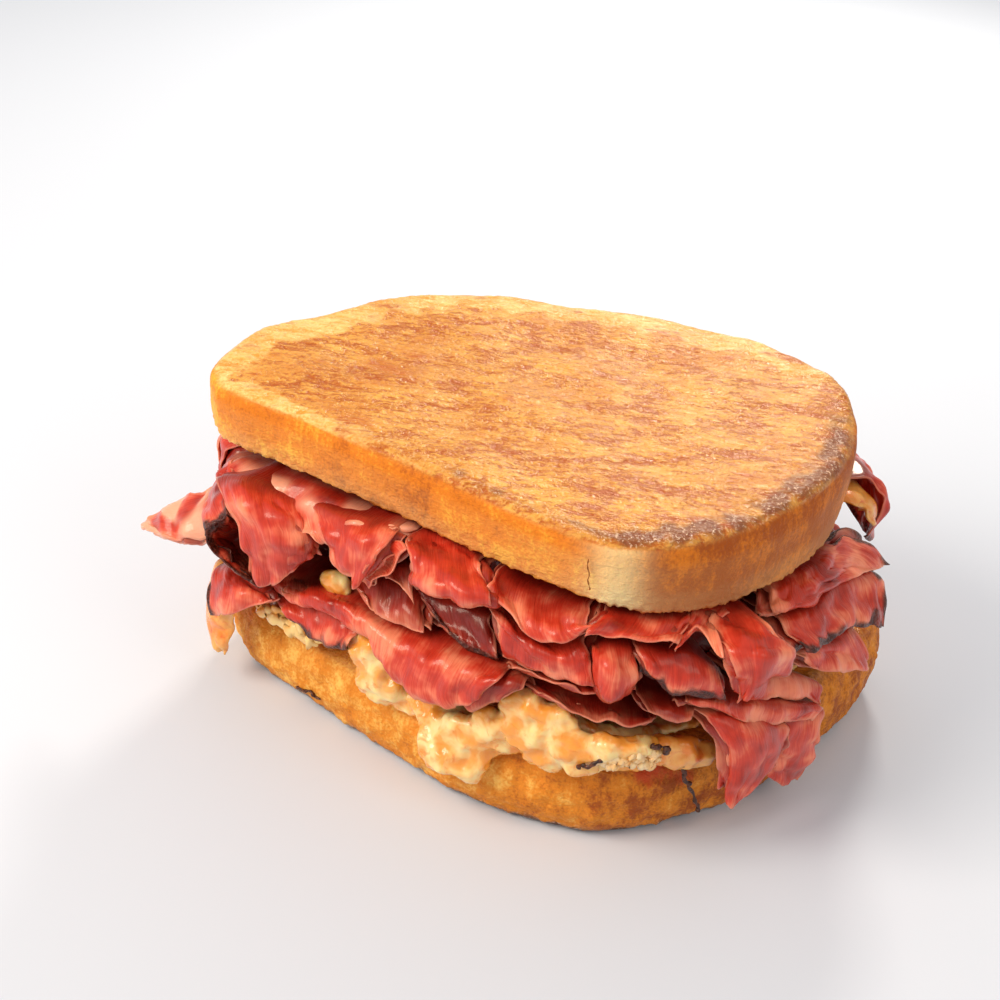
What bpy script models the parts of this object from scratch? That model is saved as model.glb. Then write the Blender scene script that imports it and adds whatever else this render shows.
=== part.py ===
"""Reuben sandwich: toasted tin-loaf bread, a ruffled pile of corned beef, melted cheese and sauerkraut.

Lengths are in millimetres until a mesh is made, X runs along the straight front edge, Z is up.
"""

import math
import random

import bmesh
import bpy
import numpy as np

MM = 0.001

# bread
TOP_OUTLINE = [(-59, -52), (-68, -40), (-70.5, -22), (-63, -4), (-61, 8), (-46, 29), (-24, 40), (-2, 50),
               (24, 55.5), (47, 52), (63, 33), (70, 5), (65, -25), (54, -44), (37, -50.5), (0, -51),
               (-35, -51.5)]
BASE_OUTLINE = [(-54, -46), (-66, -36), (-69, -12), (-65, 14), (-50, 38), (-20, 53), (15, 60), (48, 62),
                (68, 57), (74, 40), (73.5, 20), (70, -6), (61, -26), (48, -43), (22, -51.5), (0, -51.5),
                (-30, -49)]
BREAD_STEPS = 50
TOP_HEIGHT = 84.0
TOP_THICK = 15.8
TOP_EXTRA = 5.0          # the slice is thicker where the crown turns down at the right
BASE_THICK = 20.5
BASE_RISE = 0.055        # mm of extra height for each mm towards the back
TOP_RINGS = [(0.0, -1.0), (0.05, 0.2), (0.35, 1.2), (0.75, 1.5), (0.93, 0.9), (1.0, -0.9)]
BASE_RINGS = [(0.0, -1.6), (0.10, 0.6), (0.35, 2.6), (0.65, 2.8), (0.90, 1.0), (1.0, -1.8)]

# filling
FILL_OUTLINE = [(-52, -50), (-64, -38), (-68, -15), (-63, 10), (-48, 31), (-20, 45), (10, 54), (40, 55),
                (60, 42), (70, 18), (71, -8), (64, -30), (49, -46), (25, -50.5), (0, -50.5), (-28, -50)]
CORE_INSET = 13.0
CORE_STEPS = 36
CHEESE_ROWS = 6
CHEESE_THICK = 2.6
GAP = 0.35
MEAT_THICK = 1.5
SHEET_START = -11.2      # the inner end of a folded slice, measured from the filling's outline
ALONG = 5
SHARP = math.radians(50)

MEAT_RED = (0.60, 0.085, 0.070)
MEAT_DARK = (0.33, 0.030, 0.025)
TOAST_TOP = (0.76, 0.330, 0.070)
TOAST_BASE = (0.70, 0.300, 0.075)
CHEESE = (0.88, 0.560, 0.210)
SAUCE = (0.82, 0.270, 0.080)


def make_material(name, colour, roughness):
    """Make a material from a linear colour."""
    made = bpy.data.materials.new(name)
    made.use_nodes = True
    shader = made.node_tree.nodes["Principled BSDF"]
    shader.inputs["Base Color"].default_value = (*colour, 1.0)
    shader.inputs["Roughness"].default_value = roughness
    shader.inputs["Metallic"].default_value = 0.0
    return made


def shade(mesh):
    """Shade a mesh smooth, with its sharp edges kept."""
    for face in mesh.polygons:
        face.use_smooth = True
    mesh.set_sharp_from_angle(angle=SHARP)


def add_mesh(name, points, faces, colour, roughness):
    """Make an object from points in millimetres, with its faces turned outwards."""
    mesh = bpy.data.meshes.new(name)
    mesh.from_pydata([tuple(MM * c for c in p) for p in points], [], faces)
    grid = bmesh.new()
    grid.from_mesh(mesh)
    bmesh.ops.recalc_face_normals(grid, faces=grid.faces)
    bmesh.ops.triangulate(grid, faces=grid.faces)
    grid.to_mesh(mesh)
    grid.free()
    shade(mesh)
    made = bpy.data.objects.new(name, mesh)
    bpy.context.scene.collection.objects.link(made)
    mesh.materials.append(make_material(name, colour, roughness))
    return made


def closed_curve(corners, steps):
    """Give a smooth closed curve through the corners, as points at equal distances along it."""
    fine = []
    count = len(corners)
    for i in range(count):
        a, b, c, d = (np.array(corners[(i + k) % count], float) for k in (-1, 0, 1, 2))
        for s in range(24):
            t = s / 24
            fine.append(0.5 * (2 * b + (c - a) * t + (2 * a - 5 * b + 4 * c - d) * t ** 2
                               + (3 * b - a - 3 * c + d) * t ** 3))
    fine = np.array(fine)
    area = np.sum(fine[:, 0] * np.roll(fine[:, 1], -1) - np.roll(fine[:, 0], -1) * fine[:, 1])
    if area < 0:
        fine = fine[::-1]
    ring = np.vstack([fine, fine[:1]])
    length = np.concatenate([[0], np.cumsum(np.linalg.norm(np.diff(ring, axis=0), axis=1))])
    at = np.arange(steps) * length[-1] / steps
    return np.stack([np.interp(at, length, ring[:, k]) for k in (0, 1)], 1), length[-1]


def outward(curve):
    """Give the outward normals of a closed curve that runs counterclockwise."""
    ahead = np.roll(curve, -1, 0) - np.roll(curve, 1, 0)
    side = np.stack([ahead[:, 1], -ahead[:, 0]], 1)
    return side / np.linalg.norm(side, axis=1)[:, None]


def smooth_step(value, low, high):
    t = min(max((value - low) / (high - low), 0.0), 1.0)
    return t * t * (3 - 2 * t)


def under_top(x, y):
    """Height of the top slice's underside."""
    return TOP_HEIGHT - TOP_THICK - TOP_EXTRA * smooth_step(x, 38.0, 72.0)


def over_base(x, y):
    """Height of the bottom slice's upper face."""
    return BASE_THICK + BASE_RISE * (y + 50.0)


def top_face(x, y):
    return TOP_HEIGHT


def floor(x, y):
    return 0.0


def over_cheese(x, y):
    return over_base(x, y) + CHEESE_THICK + 3 * GAP


def under_core(x, y):
    return under_top(x, y) - 4 * GAP


def wobble(angle, seed):
    """Slow unevenness of hand-cut bread, from -1 to 1."""
    slow = 0.5 * math.sin(3 * angle + seed) + 0.3 * math.sin(5 * angle + 2 * seed)
    return slow + 0.2 * math.sin(9 * angle + 3 * seed)


def slab(corners, rings, low, high, steps, uneven=0.0, seed=0.0, grow=0.0):
    """Give the points and faces of a closed slab whose sides follow the rings (part of height, outset).

    Its faces follow the heights low and high, which are functions of x and y.
    """
    curve, _ = closed_curve(corners, steps)
    side = outward(curve)
    points = []
    for part, out in rings:
        for k in range(steps):
            angle = 2 * math.pi * k / steps
            x, y = curve[k] + side[k] * (out + grow + uneven * wobble(angle, seed + 2 * part))
            bottom = low(x, y) - grow
            top = high(x, y) + grow
            points.append((x, y, bottom + (top - bottom) * part))
    faces = []
    for r in range(len(rings) - 1):
        for k in range(steps):
            a = r * steps + k
            b = r * steps + (k + 1) % steps
            faces.append((a, b, b + steps, a + steps))
    middle = curve.mean(0)
    last = (len(rings) - 1) * steps
    for first, height, raised, inset in ((0, low, -grow, 0.62), (last, high, grow, 0.92)):
        inner = len(points)
        for k in range(steps):
            x, y = middle + (np.array(points[first + k][:2]) - middle) * inset
            points.append((x, y, height(x, y) + raised))
        hub = len(points)
        points.append((*middle, height(*middle) + raised))
        for k in range(steps):
            n = (k + 1) % steps
            faces.append((first + k, first + n, inner + n, inner + k))
            faces.append((inner + k, inner + n, hub))
    return points, faces


FILL_CURVE, FILL_LENGTH = closed_curve(FILL_OUTLINE, 720)
FILL_SIDE = outward(FILL_CURVE)
for _ in range(60):
    FILL_SIDE = (np.roll(FILL_SIDE, 1, 0) + FILL_SIDE + np.roll(FILL_SIDE, -1, 0)) / 3
FILL_SIDE /= np.linalg.norm(FILL_SIDE, axis=1)[:, None]
FRONT_CENTRE = int(np.argmin(np.abs(FILL_CURVE[:, 0]) + 100 * (FILL_CURVE[:, 1] > 0)))


def place(along, out, height):
    """Turn a distance along the filling's outline (0 at the front's centre, growing to the right), a
    distance outwards from it and a height into a point."""
    at = (FRONT_CENTRE + along / FILL_LENGTH * len(FILL_CURVE)) % len(FILL_CURVE)
    low = int(at)
    part = at - low
    high = (low + 1) % len(FILL_CURVE)
    spot = FILL_CURVE[low] * (1 - part) + FILL_CURVE[high] * part
    side = FILL_SIDE[low] * (1 - part) + FILL_SIDE[high] * part
    return (spot[0] + side[0] * out, spot[1] + side[1] * out, height)


def bezier(a, b, c, d, t):
    s = 1 - t
    return s ** 3 * a + 3 * s * s * t * b + 3 * s * t * t * c + t ** 3 * d


def swell(u, left, right):
    """How far a folded slice swells out across its width: 1 in the middle, left and right at its ends."""
    edge = left if u < 0.5 else right
    return edge + (1 - edge) * max(math.cos(math.pi * (u - 0.5)), 0.0) ** 0.7


def grid_normals(centre):
    """Give the normals of a surface held as a grid of points."""
    normal = np.cross(np.gradient(centre, axis=0), np.gradient(centre, axis=1))
    return normal / np.linalg.norm(normal, axis=2)[:, :, None]


def folded_slice(start, end, z_in, reach, z_out, d_out, ends=(0.8, 0.5), slope=0.0, ruffle=1.2,
                 waves=2.0, phase=0.0, lean=0.0, point=0.0, rise=0.0, tuck=0.0, shoulder=1.0, step=2.6,
                 thick=MEAT_THICK):
    """Give a thin slice of meat that comes out of the pile, turns over and hangs or tucks back in.

    It spans start to end along the outline. Its profile runs from the height z_in inside the pile, out to
    reach, to its free edge at d_out and z_out. The ends say how much of that is left at both sides, slope
    raises the right side against the left one, tuck lowers the right end and draws it in below the next
    slice, lean shifts the free edge along, point draws it to a tip, and a low shoulder makes it fall away
    straight instead of round.
    """
    columns = min(max(round((end - start) / step), 7), 15)
    centre = np.zeros((columns + 1, ALONG + 1, 3))
    knee = (8 * reach - SHEET_START - d_out) / 6
    first = SHEET_START + (knee - SHEET_START) * (0.45 + 0.55 * shoulder)
    z_first = z_in + rise - (1 - shoulder) * 0.35 * (z_in - z_out)
    for i in range(columns + 1):
        u = i / columns
        full = swell(u, *ends)
        tucked = tuck * smooth_step(u, 0.45, 1.0)
        for j in range(ALONG + 1):
            v = (j / ALONG) * (1 - point * (1 - full))
            out = bezier(SHEET_START, first, knee, d_out, v)
            out = SHEET_START + (out - SHEET_START) * (0.45 + 0.55 * full) - 1.5 * tucked * v
            drop = z_in - bezier(z_in, z_first, z_out + 0.25 * (z_in - z_out), z_out, v)
            height = z_in - tucked - drop * (0.3 + 0.7 * full) + slope * (u - 0.5) * (0.4 + 0.6 * v)
            centre[i, j] = place(start + (end - start) * u + lean * v * v, out, height)
    normal = grid_normals(centre)
    for i in range(columns + 1):
        for j in range(ALONG + 1):
            v = j / ALONG
            turn = 2 * math.pi * (waves * i / columns + phase + 0.15 * v)
            wave = math.sin(turn) + 0.35 * math.sin(2 * turn + 1.0)
            centre[i, j] += normal[i, j] * ruffle * wave * smooth_step(v, 0.15, 0.9)
    normal = grid_normals(centre)
    points = []
    for sign in (1, -1):
        for i in range(columns + 1):
            for j in range(ALONG + 1):
                rim = i in (0, columns) or j in (0, ALONG)
                off = sign * thick * (0.22 if rim else 0.5)
                points.append(tuple(centre[i, j] + normal[i, j] * off))
    wide = ALONG + 1
    count = (columns + 1) * wide
    faces = []
    for i in range(columns):
        for j in range(ALONG):
            a, b, c, d = i * wide + j, (i + 1) * wide + j, (i + 1) * wide + j + 1, i * wide + j + 1
            split = ((a, b, c), (a, c, d)) if (i + j) % 2 else ((a, b, d), (b, c, d))
            for corner in split:
                faces.append(corner)
                faces.append(tuple(count + k for k in reversed(corner)))
    edge = [(i * wide, (i + 1) * wide) for i in range(columns)]
    edge += [(columns * wide + j, columns * wide + j + 1) for j in range(ALONG)]
    edge += [((i + 1) * wide + ALONG, i * wide + ALONG) for i in reversed(range(columns))]
    edge += [(j + 1, j) for j in reversed(range(ALONG))]
    for a, b in edge:
        faces.append((b, a, count + a, count + b))
    return points, faces


def lump(where, size, turn, seed, rings=5, steps=7):
    """Give an uneven rounded lump of cheese or kraut."""
    rng = random.Random(seed)
    points = [(0, 0, 1), (0, 0, -1)]
    for r in range(1, rings):
        for k in range(steps):
            polar = math.pi * r / rings
            angle = 2 * math.pi * k / steps
            far = 1 + rng.uniform(-0.13, 0.13)
            points.append((far * math.sin(polar) * math.cos(angle), far * math.sin(polar) * math.sin(angle),
                           far * math.cos(polar)))
    faces = []
    for k in range(steps):
        n = (k + 1) % steps
        faces.append((0, 2 + k, 2 + n))
        last = 2 + (rings - 2) * steps
        faces.append((1, last + n, last + k))
        for r in range(rings - 2):
            a = 2 + r * steps + k
            b = 2 + r * steps + n
            faces.append((a, a + steps, b + steps, b))
    c, s = math.cos(turn), math.sin(turn)
    moved = []
    for x, y, z in points:
        x, y, z = x * size[0], y * size[1], z * size[2]
        moved.append((where[0] + c * x - s * y, where[1] + s * x + c * y, where[2] + z))
    return moved, faces


# each row: name, start, end, z_in, reach, z_out, d_out, then what differs from the usual slice
MEAT = [
    # right under the top slice, from the left to the right
    ("meat_under_left", -66, -5, 67.2, 1.0, 65.6, 4.5, dict(ends=(0.5, 0.5), ruffle=0.4)),
    ("meat_tip_left", -84, -60, 52.0, 20.0, 32.0, 27.0,
     dict(ends=(0.05, 0.1), ruffle=0.8, lean=2, point=0.9)),
    ("meat_fold_left", -57, -29, 62.5, 11.5, 39.0, 9.0,
     dict(ends=(0.9, 0.5), ruffle=0.9, waves=1.2, rise=2, tuck=3)),
    ("meat_flap_left", -32, -1, 64.0, 9.5, 49.0, 9.0,
     dict(ends=(0.8, 0.5), ruffle=1.9, point=0.5, waves=2.6, shoulder=0.6)),
    ("meat_flap_front", 1, 28, 66.3, 5.5, 56.0, 7.5,
     dict(ends=(0.7, 0.5), ruffle=1.2, waves=1.5, tuck=5, shoulder=0.5)),
    ("meat_flap_middle", 22, 50, 65.6, 7.5, 56.5, 9.0,
     dict(ends=(0.7, 0.5), ruffle=1.6, waves=1.4, slope=1, tuck=4.5, shoulder=0.4)),
    ("meat_edge_right", 47, 77, 63.0, 6.6, 58.0, 10.0,
     dict(ends=(0.6, 0.5), ruffle=1.7, tuck=4.5, shoulder=0.5)),
    ("meat_loop_right", 73, 98, 61.2, 14.0, 43.0, 8.0, dict(ends=(1.0, 0.6), ruffle=0.8, rise=3)),
    # the middle of the pile, mostly in shadow
    ("meat_rim_left", -69, -54, 46.5, 4.0, 43.5, 7.5, dict(ends=(0.6, 0.3), slope=-8, ruffle=0.5)),
    ("meat_deep_left", -15, 4, 46.5, 2.2, 42.5, 5.0, dict(ruffle=1.5, waves=1.5)),
    ("meat_deep_front", 5, 38, 49.5, -2.0, 46.0, 0.0, dict(ruffle=1.0)),
    ("meat_roll_front", 38, 57, 52.0, 6.0, 44.5, 0.5, dict(ends=(0.5, 0.9), ruffle=0.3)),
    ("meat_peppered", 59, 76, 52.0, 6.0, 48.0, 8.5, dict(ends=(0.8, 0.5), ruffle=1.0)),
    # the lowest layer
    ("meat_pocket_left", -67, -38, 37.0, 8.5, 26.0, 7.5, dict(ends=(0.8, 0.5), ruffle=1.3, tuck=1)),
    ("meat_low_left", -37, -16, 33.5, 4.0, 28.5, 6.0, dict(ends=(0.6, 0.5), ruffle=1.1)),
    ("meat_long_front", -26, 31, 39.0, 5.6, 32.0, 9.0,
     dict(ends=(0.3, 0.9), ruffle=1.5, slope=-4, waves=2.6)),
    ("meat_strip_right", 60, 110, 39.5, 8.4, 37.5, 13.0,
     dict(ends=(0.4, 0.6), slope=-12, ruffle=0.9)),
    ("meat_hang_right", 68, 94, 32.5, 9.0, 14.0, 8.0,
     dict(ends=(0.6, 0.5), ruffle=1.6, point=0.8, lean=1)),
    ("meat_hang_far", 96, 117, 29.5, 11.0, 8.0, 10.5, dict(ends=(0.6, 0.5), ruffle=1.2, point=0.5)),
    # sticking out at the right
    ("meat_tongue_upper", 100, 137, 58.0, 13.0, 46.5, 14.5,
     dict(ends=(0.25, 0.8), lean=1, ruffle=1.5, point=0.3)),
    ("meat_tongue_lower", 100, 140, 48.0, 13.5, 37.5, 15.0,
     dict(ends=(0.3, 0.8), lean=0, ruffle=1.5, point=0.3)),
    ("meat_tongue_low", 118, 147, 36.5, 9.8, 30.5, 12.5, dict(ends=(0.4, 0.6), ruffle=1.2)),
]

# swellings of the cheese: along, down from the bread's edge, then half sizes along and down, and how thick
SWELLINGS = [(-37, -1.0, 4.0, 3.0, 1.4), (-30, 0.0, 4.0, 3.0, 2.0), (-25, -1.0, 3.0, 3.0, 1.6),
             (-9, -1.0, 5.0, 3.5, 6.5), (-4, 1.5, 4.5, 3.0, 2.8), (4, 1.0, 5.0, 4.0, 2.6),
             (13, 4.0, 5.5, 5.0, 3.4), (17, 8.0, 5.0, 3.5, 2.4), (23, 0.0, 5.0, 4.5, 3.6),
             (31, -2.5, 4.5, 4.0, 8.0), (38, -3.5, 5.0, 3.8, 12.0), (38, 1.0, 6.0, 3.0, 3.0),
             (47, -1.5, 5.5, 3.6, 5.5), (55, -1.5, 5.0, 3.5, 4.0), (62, -2.0, 4.0, 3.0, 2.5)]
# how far the cheese runs down: from, to, and how far past the bread's upper edge
RUNS = [(-41, -22, 1.0), (-13, 1, 3.2), (0, 9, 3.6), (7, 26, 10.5), (27, 64, 2.6)]

# small bits that lie apart: name, colour, along, out, height, then half sizes along, out and up
BITS = [("cheese_in_fold", CHEESE, -22, 2.0, 43.5, 5.0, 3.0, 3.4),
        ("cheese_far_right", SAUCE, 149, 4.5, 53.5, 5.0, 3.0, 4.2),
        ("sauce_drip_left", SAUCE, -63, 4.2, 15.0, 3.6, 1.2, 9.0)]


def cheese_layer():
    """Give the cheese that runs through on top of the bottom slice and sags over its front edge.

    At each station round the bread the layer's lower skin follows the bread at a small gap, and its upper
    skin stands off by the layer's thickness and the swellings.
    """
    fine, length = closed_curve(BASE_OUTLINE, 8 * BREAD_STEPS)
    side = outward(fine)
    centre = int(np.argmin(np.abs(fine[:, 0]) + 100 * (fine[:, 1] > 0)))
    stations = []
    for k in range(2 * BREAD_STEPS):
        along = ((4 * k - centre) / len(fine) * length + length / 2) % length - length / 2
        if k % 2 == 0 or -46 < along < 68:
            stations.append((4 * k, along))
    lower = []
    upper = []
    for at, along in stations:
        run = -3.0
        for low, high, far in RUNS:
            ramp = smooth_step(along, low - 2, low + 2) * (1 - smooth_step(along, high - 2, high + 2))
            run = max(run, -3.0 + (far + 3.0) * ramp)
        run += 0.5 * math.sin(0.9 * along) + 0.3 * math.sin(2.1 * along + 1.0)
        x, y = fine[at]
        top = over_base(x, y)
        contour = [(-14.0, top), (BASE_RINGS[-1][1], top)]
        contour += [(out, top * part) for part, out in reversed(BASE_RINGS[:-1])]
        contour = np.array(contour)
        reach = np.concatenate([[0], np.cumsum(np.linalg.norm(np.diff(contour, axis=0), axis=1))])
        reach -= reach[1]
        for skin, rows in ((0, lower), (1, upper)):
            row = []
            for j in range(CHEESE_ROWS + 1):
                down = -9.0 + (run + 9.0) * (j / CHEESE_ROWS) ** 0.8
                out = np.interp(down, reach, contour[:, 0])
                height = np.interp(down, reach, contour[:, 1]) + BASE_RISE * side[at][1] * min(out, 0.0)
                turn = math.radians(90 * smooth_step(down, -2.0, 7.0))
                off = GAP + 0.2 + 1.1 * smooth_step(down, -5.0, -1.5)
                if skin:
                    thick = 0.35 * math.sin(1.3 * along + down)
                    for where, low, wide, tall, much in SWELLINGS:
                        thick += much * math.exp(-((along - where) / wide) ** 2 - ((down - low) / tall) ** 2)
                    thick = CHEESE_THICK + thick * smooth_step(down, -9.0, -6.0)
                    off += thick * (1 - 0.6 * smooth_step(j / CHEESE_ROWS, 0.8, 1.0))
                out += off * math.sin(turn)
                height += off * math.cos(turn)
                row.append((*(fine[at] + side[at] * out), height))
            rows.append(row)
    rings = [[row[j] for row in lower] for j in range(CHEESE_ROWS + 1)]
    rings += [[row[j] for row in upper] for j in reversed(range(CHEESE_ROWS + 1))]
    count = len(stations)
    points = [p for ring in rings for p in ring]
    faces = []
    for r in range(len(rings) - 1):
        for k in range(count):
            n = (k + 1) % count
            faces.append((r * count + k, r * count + n, (r + 1) * count + n, (r + 1) * count + k))
    for first, ring in ((0, rings[0]), ((len(rings) - 1) * count, rings[-1])):
        hub = len(points)
        points.append(tuple(np.array(ring).mean(0)))
        faces += [(first + k, first + (k + 1) % count, hub) for k in range(count)]
    return points, faces


def tangent(along):
    """Direction of the filling's outline, as an angle about Z."""
    a = place(along - 1, 0, 0)
    b = place(along + 1, 0, 0)
    return math.atan2(b[1] - a[1], b[0] - a[0])


def back_slices():
    """The pile goes on round the back and the left side, by a seeded rule."""
    rng = random.Random(11)
    rows = []
    first = 158.5
    last = FILL_LENGTH - 95.0
    for row, (count, z_in, drop, reach) in enumerate(((4, 66.0, 11.0, 7.0), (4, 48.5, 11.0, 6.0))):
        wide = (last - first) / count
        for k in range(count):
            start = first + wide * k - 3.0
            end = first + wide * (k + 1) + 3.0
            far = reach + rng.uniform(-1.0, 2.0)
            z_out = z_in - drop - rng.uniform(0.0, 2.0)
            rest = dict(ends=(rng.uniform(0.7, 0.9), 0.5), ruffle=rng.uniform(1.0, 1.5), tuck=4.0,
                        waves=rng.uniform(1.6, 2.6), phase=rng.random(), step=5.2)
            rows.append((f"meat_back_{row}_{k}", start, end, z_in, far, z_out, far, rest))
    return rows


def main():
    for old in list(bpy.data.objects):
        bpy.data.objects.remove(old)

    points, faces = slab(TOP_OUTLINE, TOP_RINGS, under_top, top_face, BREAD_STEPS, 0.35, 1.0)
    add_mesh("top_slice", points, faces, TOAST_TOP, 0.62)
    points, faces = slab(BASE_OUTLINE, BASE_RINGS, floor, over_base, BREAD_STEPS)
    add_mesh("bottom_slice", points, faces, TOAST_BASE, 0.66)
    core_rings = [(0.0, -1.5), (0.2, 0.8), (0.4, -0.8), (0.6, 0.8), (0.8, -0.6), (1.0, -1.2)]
    core_rings = [(part, out - CORE_INSET) for part, out in core_rings]
    points, faces = slab(FILL_OUTLINE, core_rings, over_cheese, under_core, CORE_STEPS)
    add_mesh("meat_core", points, faces, MEAT_DARK, 0.45)

    points, faces = cheese_layer()
    add_mesh("cheese_and_kraut", points, faces, CHEESE, 0.35)
    for seed, (name, colour, along, out, height, *size) in enumerate(BITS):
        points, faces = lump(place(along, out, height), size, tangent(along), 40 + seed)
        add_mesh(name, points, faces, colour, 0.3)

    for name, start, end, z_in, reach, z_out, d_out, rest in MEAT + back_slices():
        points, faces = folded_slice(start, end, z_in, reach, z_out, d_out, **rest)
        add_mesh(name, points, faces, MEAT_RED, 0.33)

    everything = [o for o in bpy.data.objects if o.type == "MESH"]
    corners = [v.co for o in everything for v in o.data.vertices]
    shift = [-(min(c[k] for c in corners) + max(c[k] for c in corners)) / 2 for k in (0, 1)]
    shift.append(-min(c[2] for c in corners))
    for made in everything:
        for vertex in made.data.vertices:
            vertex.co = [c + s for c, s in zip(vertex.co, shift)]


main()
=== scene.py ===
# %% [markdown]
# # A grilled reuben sandwich
# Two slices of toasted tin loaf hold a ruffled pile of thin corned beef, with melted cheese and
# sauerkraut sagging over the front edge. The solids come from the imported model, and every visible
# surface is made again here in finer detail, in the same place.

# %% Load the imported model
import math

import bpy
import numpy as np
from mathutils import Matrix, Vector


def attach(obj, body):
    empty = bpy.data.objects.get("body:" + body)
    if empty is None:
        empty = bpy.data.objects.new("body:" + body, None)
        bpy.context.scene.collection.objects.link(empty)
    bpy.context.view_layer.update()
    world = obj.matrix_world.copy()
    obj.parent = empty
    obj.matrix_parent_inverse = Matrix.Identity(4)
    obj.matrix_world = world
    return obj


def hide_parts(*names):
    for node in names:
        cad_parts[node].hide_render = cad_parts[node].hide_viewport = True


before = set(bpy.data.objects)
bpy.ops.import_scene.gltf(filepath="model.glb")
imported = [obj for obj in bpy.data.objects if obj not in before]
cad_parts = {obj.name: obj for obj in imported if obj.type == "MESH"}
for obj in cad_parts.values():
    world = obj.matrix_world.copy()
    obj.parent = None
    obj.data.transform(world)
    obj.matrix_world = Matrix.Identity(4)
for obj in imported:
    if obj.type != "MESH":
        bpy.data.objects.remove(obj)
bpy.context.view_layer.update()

MM = 0.001

# %% [markdown]
# ## Camera
# The picture was taken from the front and a little to the right, looking down. The place, the
# turn and the slight roll were worked out beforehand, together with the lens, so they are numbers
# here. The principal point is the middle of the frame, so no lens shift is needed.

# %% Camera
AZIMUTH, ELEVATION, ROLL = (math.radians(a) for a in (34.0, 31.49, 4.454))
CAMERA_MM = (188.90, -298.62, 266.56)

back = Vector((math.sin(AZIMUTH) * math.cos(ELEVATION), -math.cos(AZIMUTH) * math.cos(ELEVATION),
               math.sin(ELEVATION)))
right = Vector((math.cos(AZIMUTH), math.sin(AZIMUTH), 0.0))
up = back.cross(right)
turned = (math.cos(ROLL) * right + math.sin(ROLL) * up,
          math.cos(ROLL) * up - math.sin(ROLL) * right, back)

bpy.ops.object.camera_add()
camera = bpy.context.object
camera.data.lens = 60
camera.data.sensor_width = 36
camera.data.clip_start = 0.02
camera.matrix_world = Matrix([[*(turned[c][r] for c in range(3)), CAMERA_MM[r] * MM]
                              for r in range(3)] + [[0, 0, 0, 1]])
bpy.context.scene.camera = camera
bpy.context.scene.view_settings.view_transform = "Standard"
print("camera at", [round(c, 3) for c in camera.location])

# %% [markdown]
# ## Colours and nodes
# Colours are written as on a paint card, as sRGB hex, and one function turns them to the linear
# numbers that a shader needs. A second one adds a node, sets it up and links its inputs, so that
# each material below reads as a short recipe.

# %% Helpers for materials
def colour(code):
    """Turn an sRGB hex colour into linear red, green, blue and alpha."""
    parts = [int(code[k:k + 2], 16) / 255 for k in (1, 3, 5)]
    return (*(p / 12.92 if p <= 0.04045 else ((p + 0.055) / 1.055) ** 2.4 for p in parts), 1.0)


def add(tree, kind, inputs=None, out=0, **settings):
    """Add a node, set it up, link or fill its inputs, and give one of its outputs."""
    made = tree.nodes.new("ShaderNode" + kind)
    for key, value in settings.items():
        setattr(made, key, value)
    for key, value in (inputs or {}).items():
        if isinstance(value, bpy.types.NodeSocket):
            tree.links.new(value, made.inputs[key])
        else:
            made.inputs[key].default_value = colour(value) if isinstance(value, str) else value
    return made.outputs[out]


# settings that many nodes share: soft ends of a range, a mix of colours, value x share + the rest
SOFT = {"interpolation_type": "SMOOTHSTEP"}
TINT = {"data_type": "RGBA"}
SUM = {"operation": "MULTIPLY_ADD"}


def finish(name, **fixed):
    """Start a material, and give its tree, its shader and a position in millimetres."""
    made = bpy.data.materials.new(name)
    made.use_nodes = True
    tree = made.node_tree
    shader = tree.nodes["Principled BSDF"]
    for key, value in fixed.items():
        socket = shader.inputs[key.replace("_", " ")]
        socket.default_value = colour(value) if isinstance(value, str) else value
    spot = add(tree, "TexCoord", out=3)
    spot = add(tree, "VectorMath", {0: spot, "Scale": 1 / MM}, operation="SCALE")
    return made, tree, shader, spot

# %% [markdown]
# ## Floor and light
# The sandwich stands on a plain white sweep. One broad light from the front left shows the filling.
# A small one behind it, where a mirror on the toast would send the camera's view, draws the glints
# of the butter. A weak one from the right and the white world fill the shadows.

# %% Floor and lights
bpy.ops.object.select_all(action="DESELECT")
bpy.ops.mesh.primitive_plane_add(size=8.0)
ground = bpy.context.object
ground.name = "floor"
white, tree, shader, spot = finish("white_studio_floor", Roughness=0.9, Base_Color="#DCE6F8")
ground.data.materials.append(white)

world = bpy.data.worlds.new("studio")
bpy.context.scene.world = world
world.use_nodes = True
world.node_tree.nodes["Background"].inputs[0].default_value = colour("#FFF8EE")
world.node_tree.nodes["Background"].inputs[1].default_value = 0.56


def softbox(place_, energy, size, tint, target=(0.0, 0.0, 0.04)):
    """Add a square soft light that faces the sandwich."""
    bpy.ops.object.light_add(type="AREA", location=place_)
    lamp = bpy.context.object
    lamp.data.energy = energy
    lamp.data.size = size
    lamp.data.color = colour(tint)[:3]
    lamp.rotation_euler = (Vector(place_) - Vector(target)).to_track_quat("Z", "Y").to_euler()
    return lamp


softbox((-0.34, -0.58, 0.62), 6.0, 0.42, "#FFEFD9")
softbox((-0.25, 0.64, 0.45), 3.2, 0.14, "#FFF2DE")
softbox((0.65, -0.10, 0.55), 0.9, 0.40, "#FFEFD9")

# %% [markdown]
# ## The filling's outline
# The slices of meat are laid round a closed curve, which is the outline of the pile seen from
# above. A place on it is a distance along the curve, a distance outwards and a height. These are
# the numbers that the solids were made from, so a finer slice lies where its solid does.

# %% Filling outline
FILL = [(-52, -50), (-64, -38), (-68, -15), (-63, 10), (-48, 31), (-20, 45), (10, 54), (40, 55),
        (60, 42), (70, 18), (71, -8), (64, -30), (49, -46), (25, -50.5), (0, -50.5), (-28, -50)]
SHIFT = np.array([0.791, -0.695, 0.0])


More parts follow.
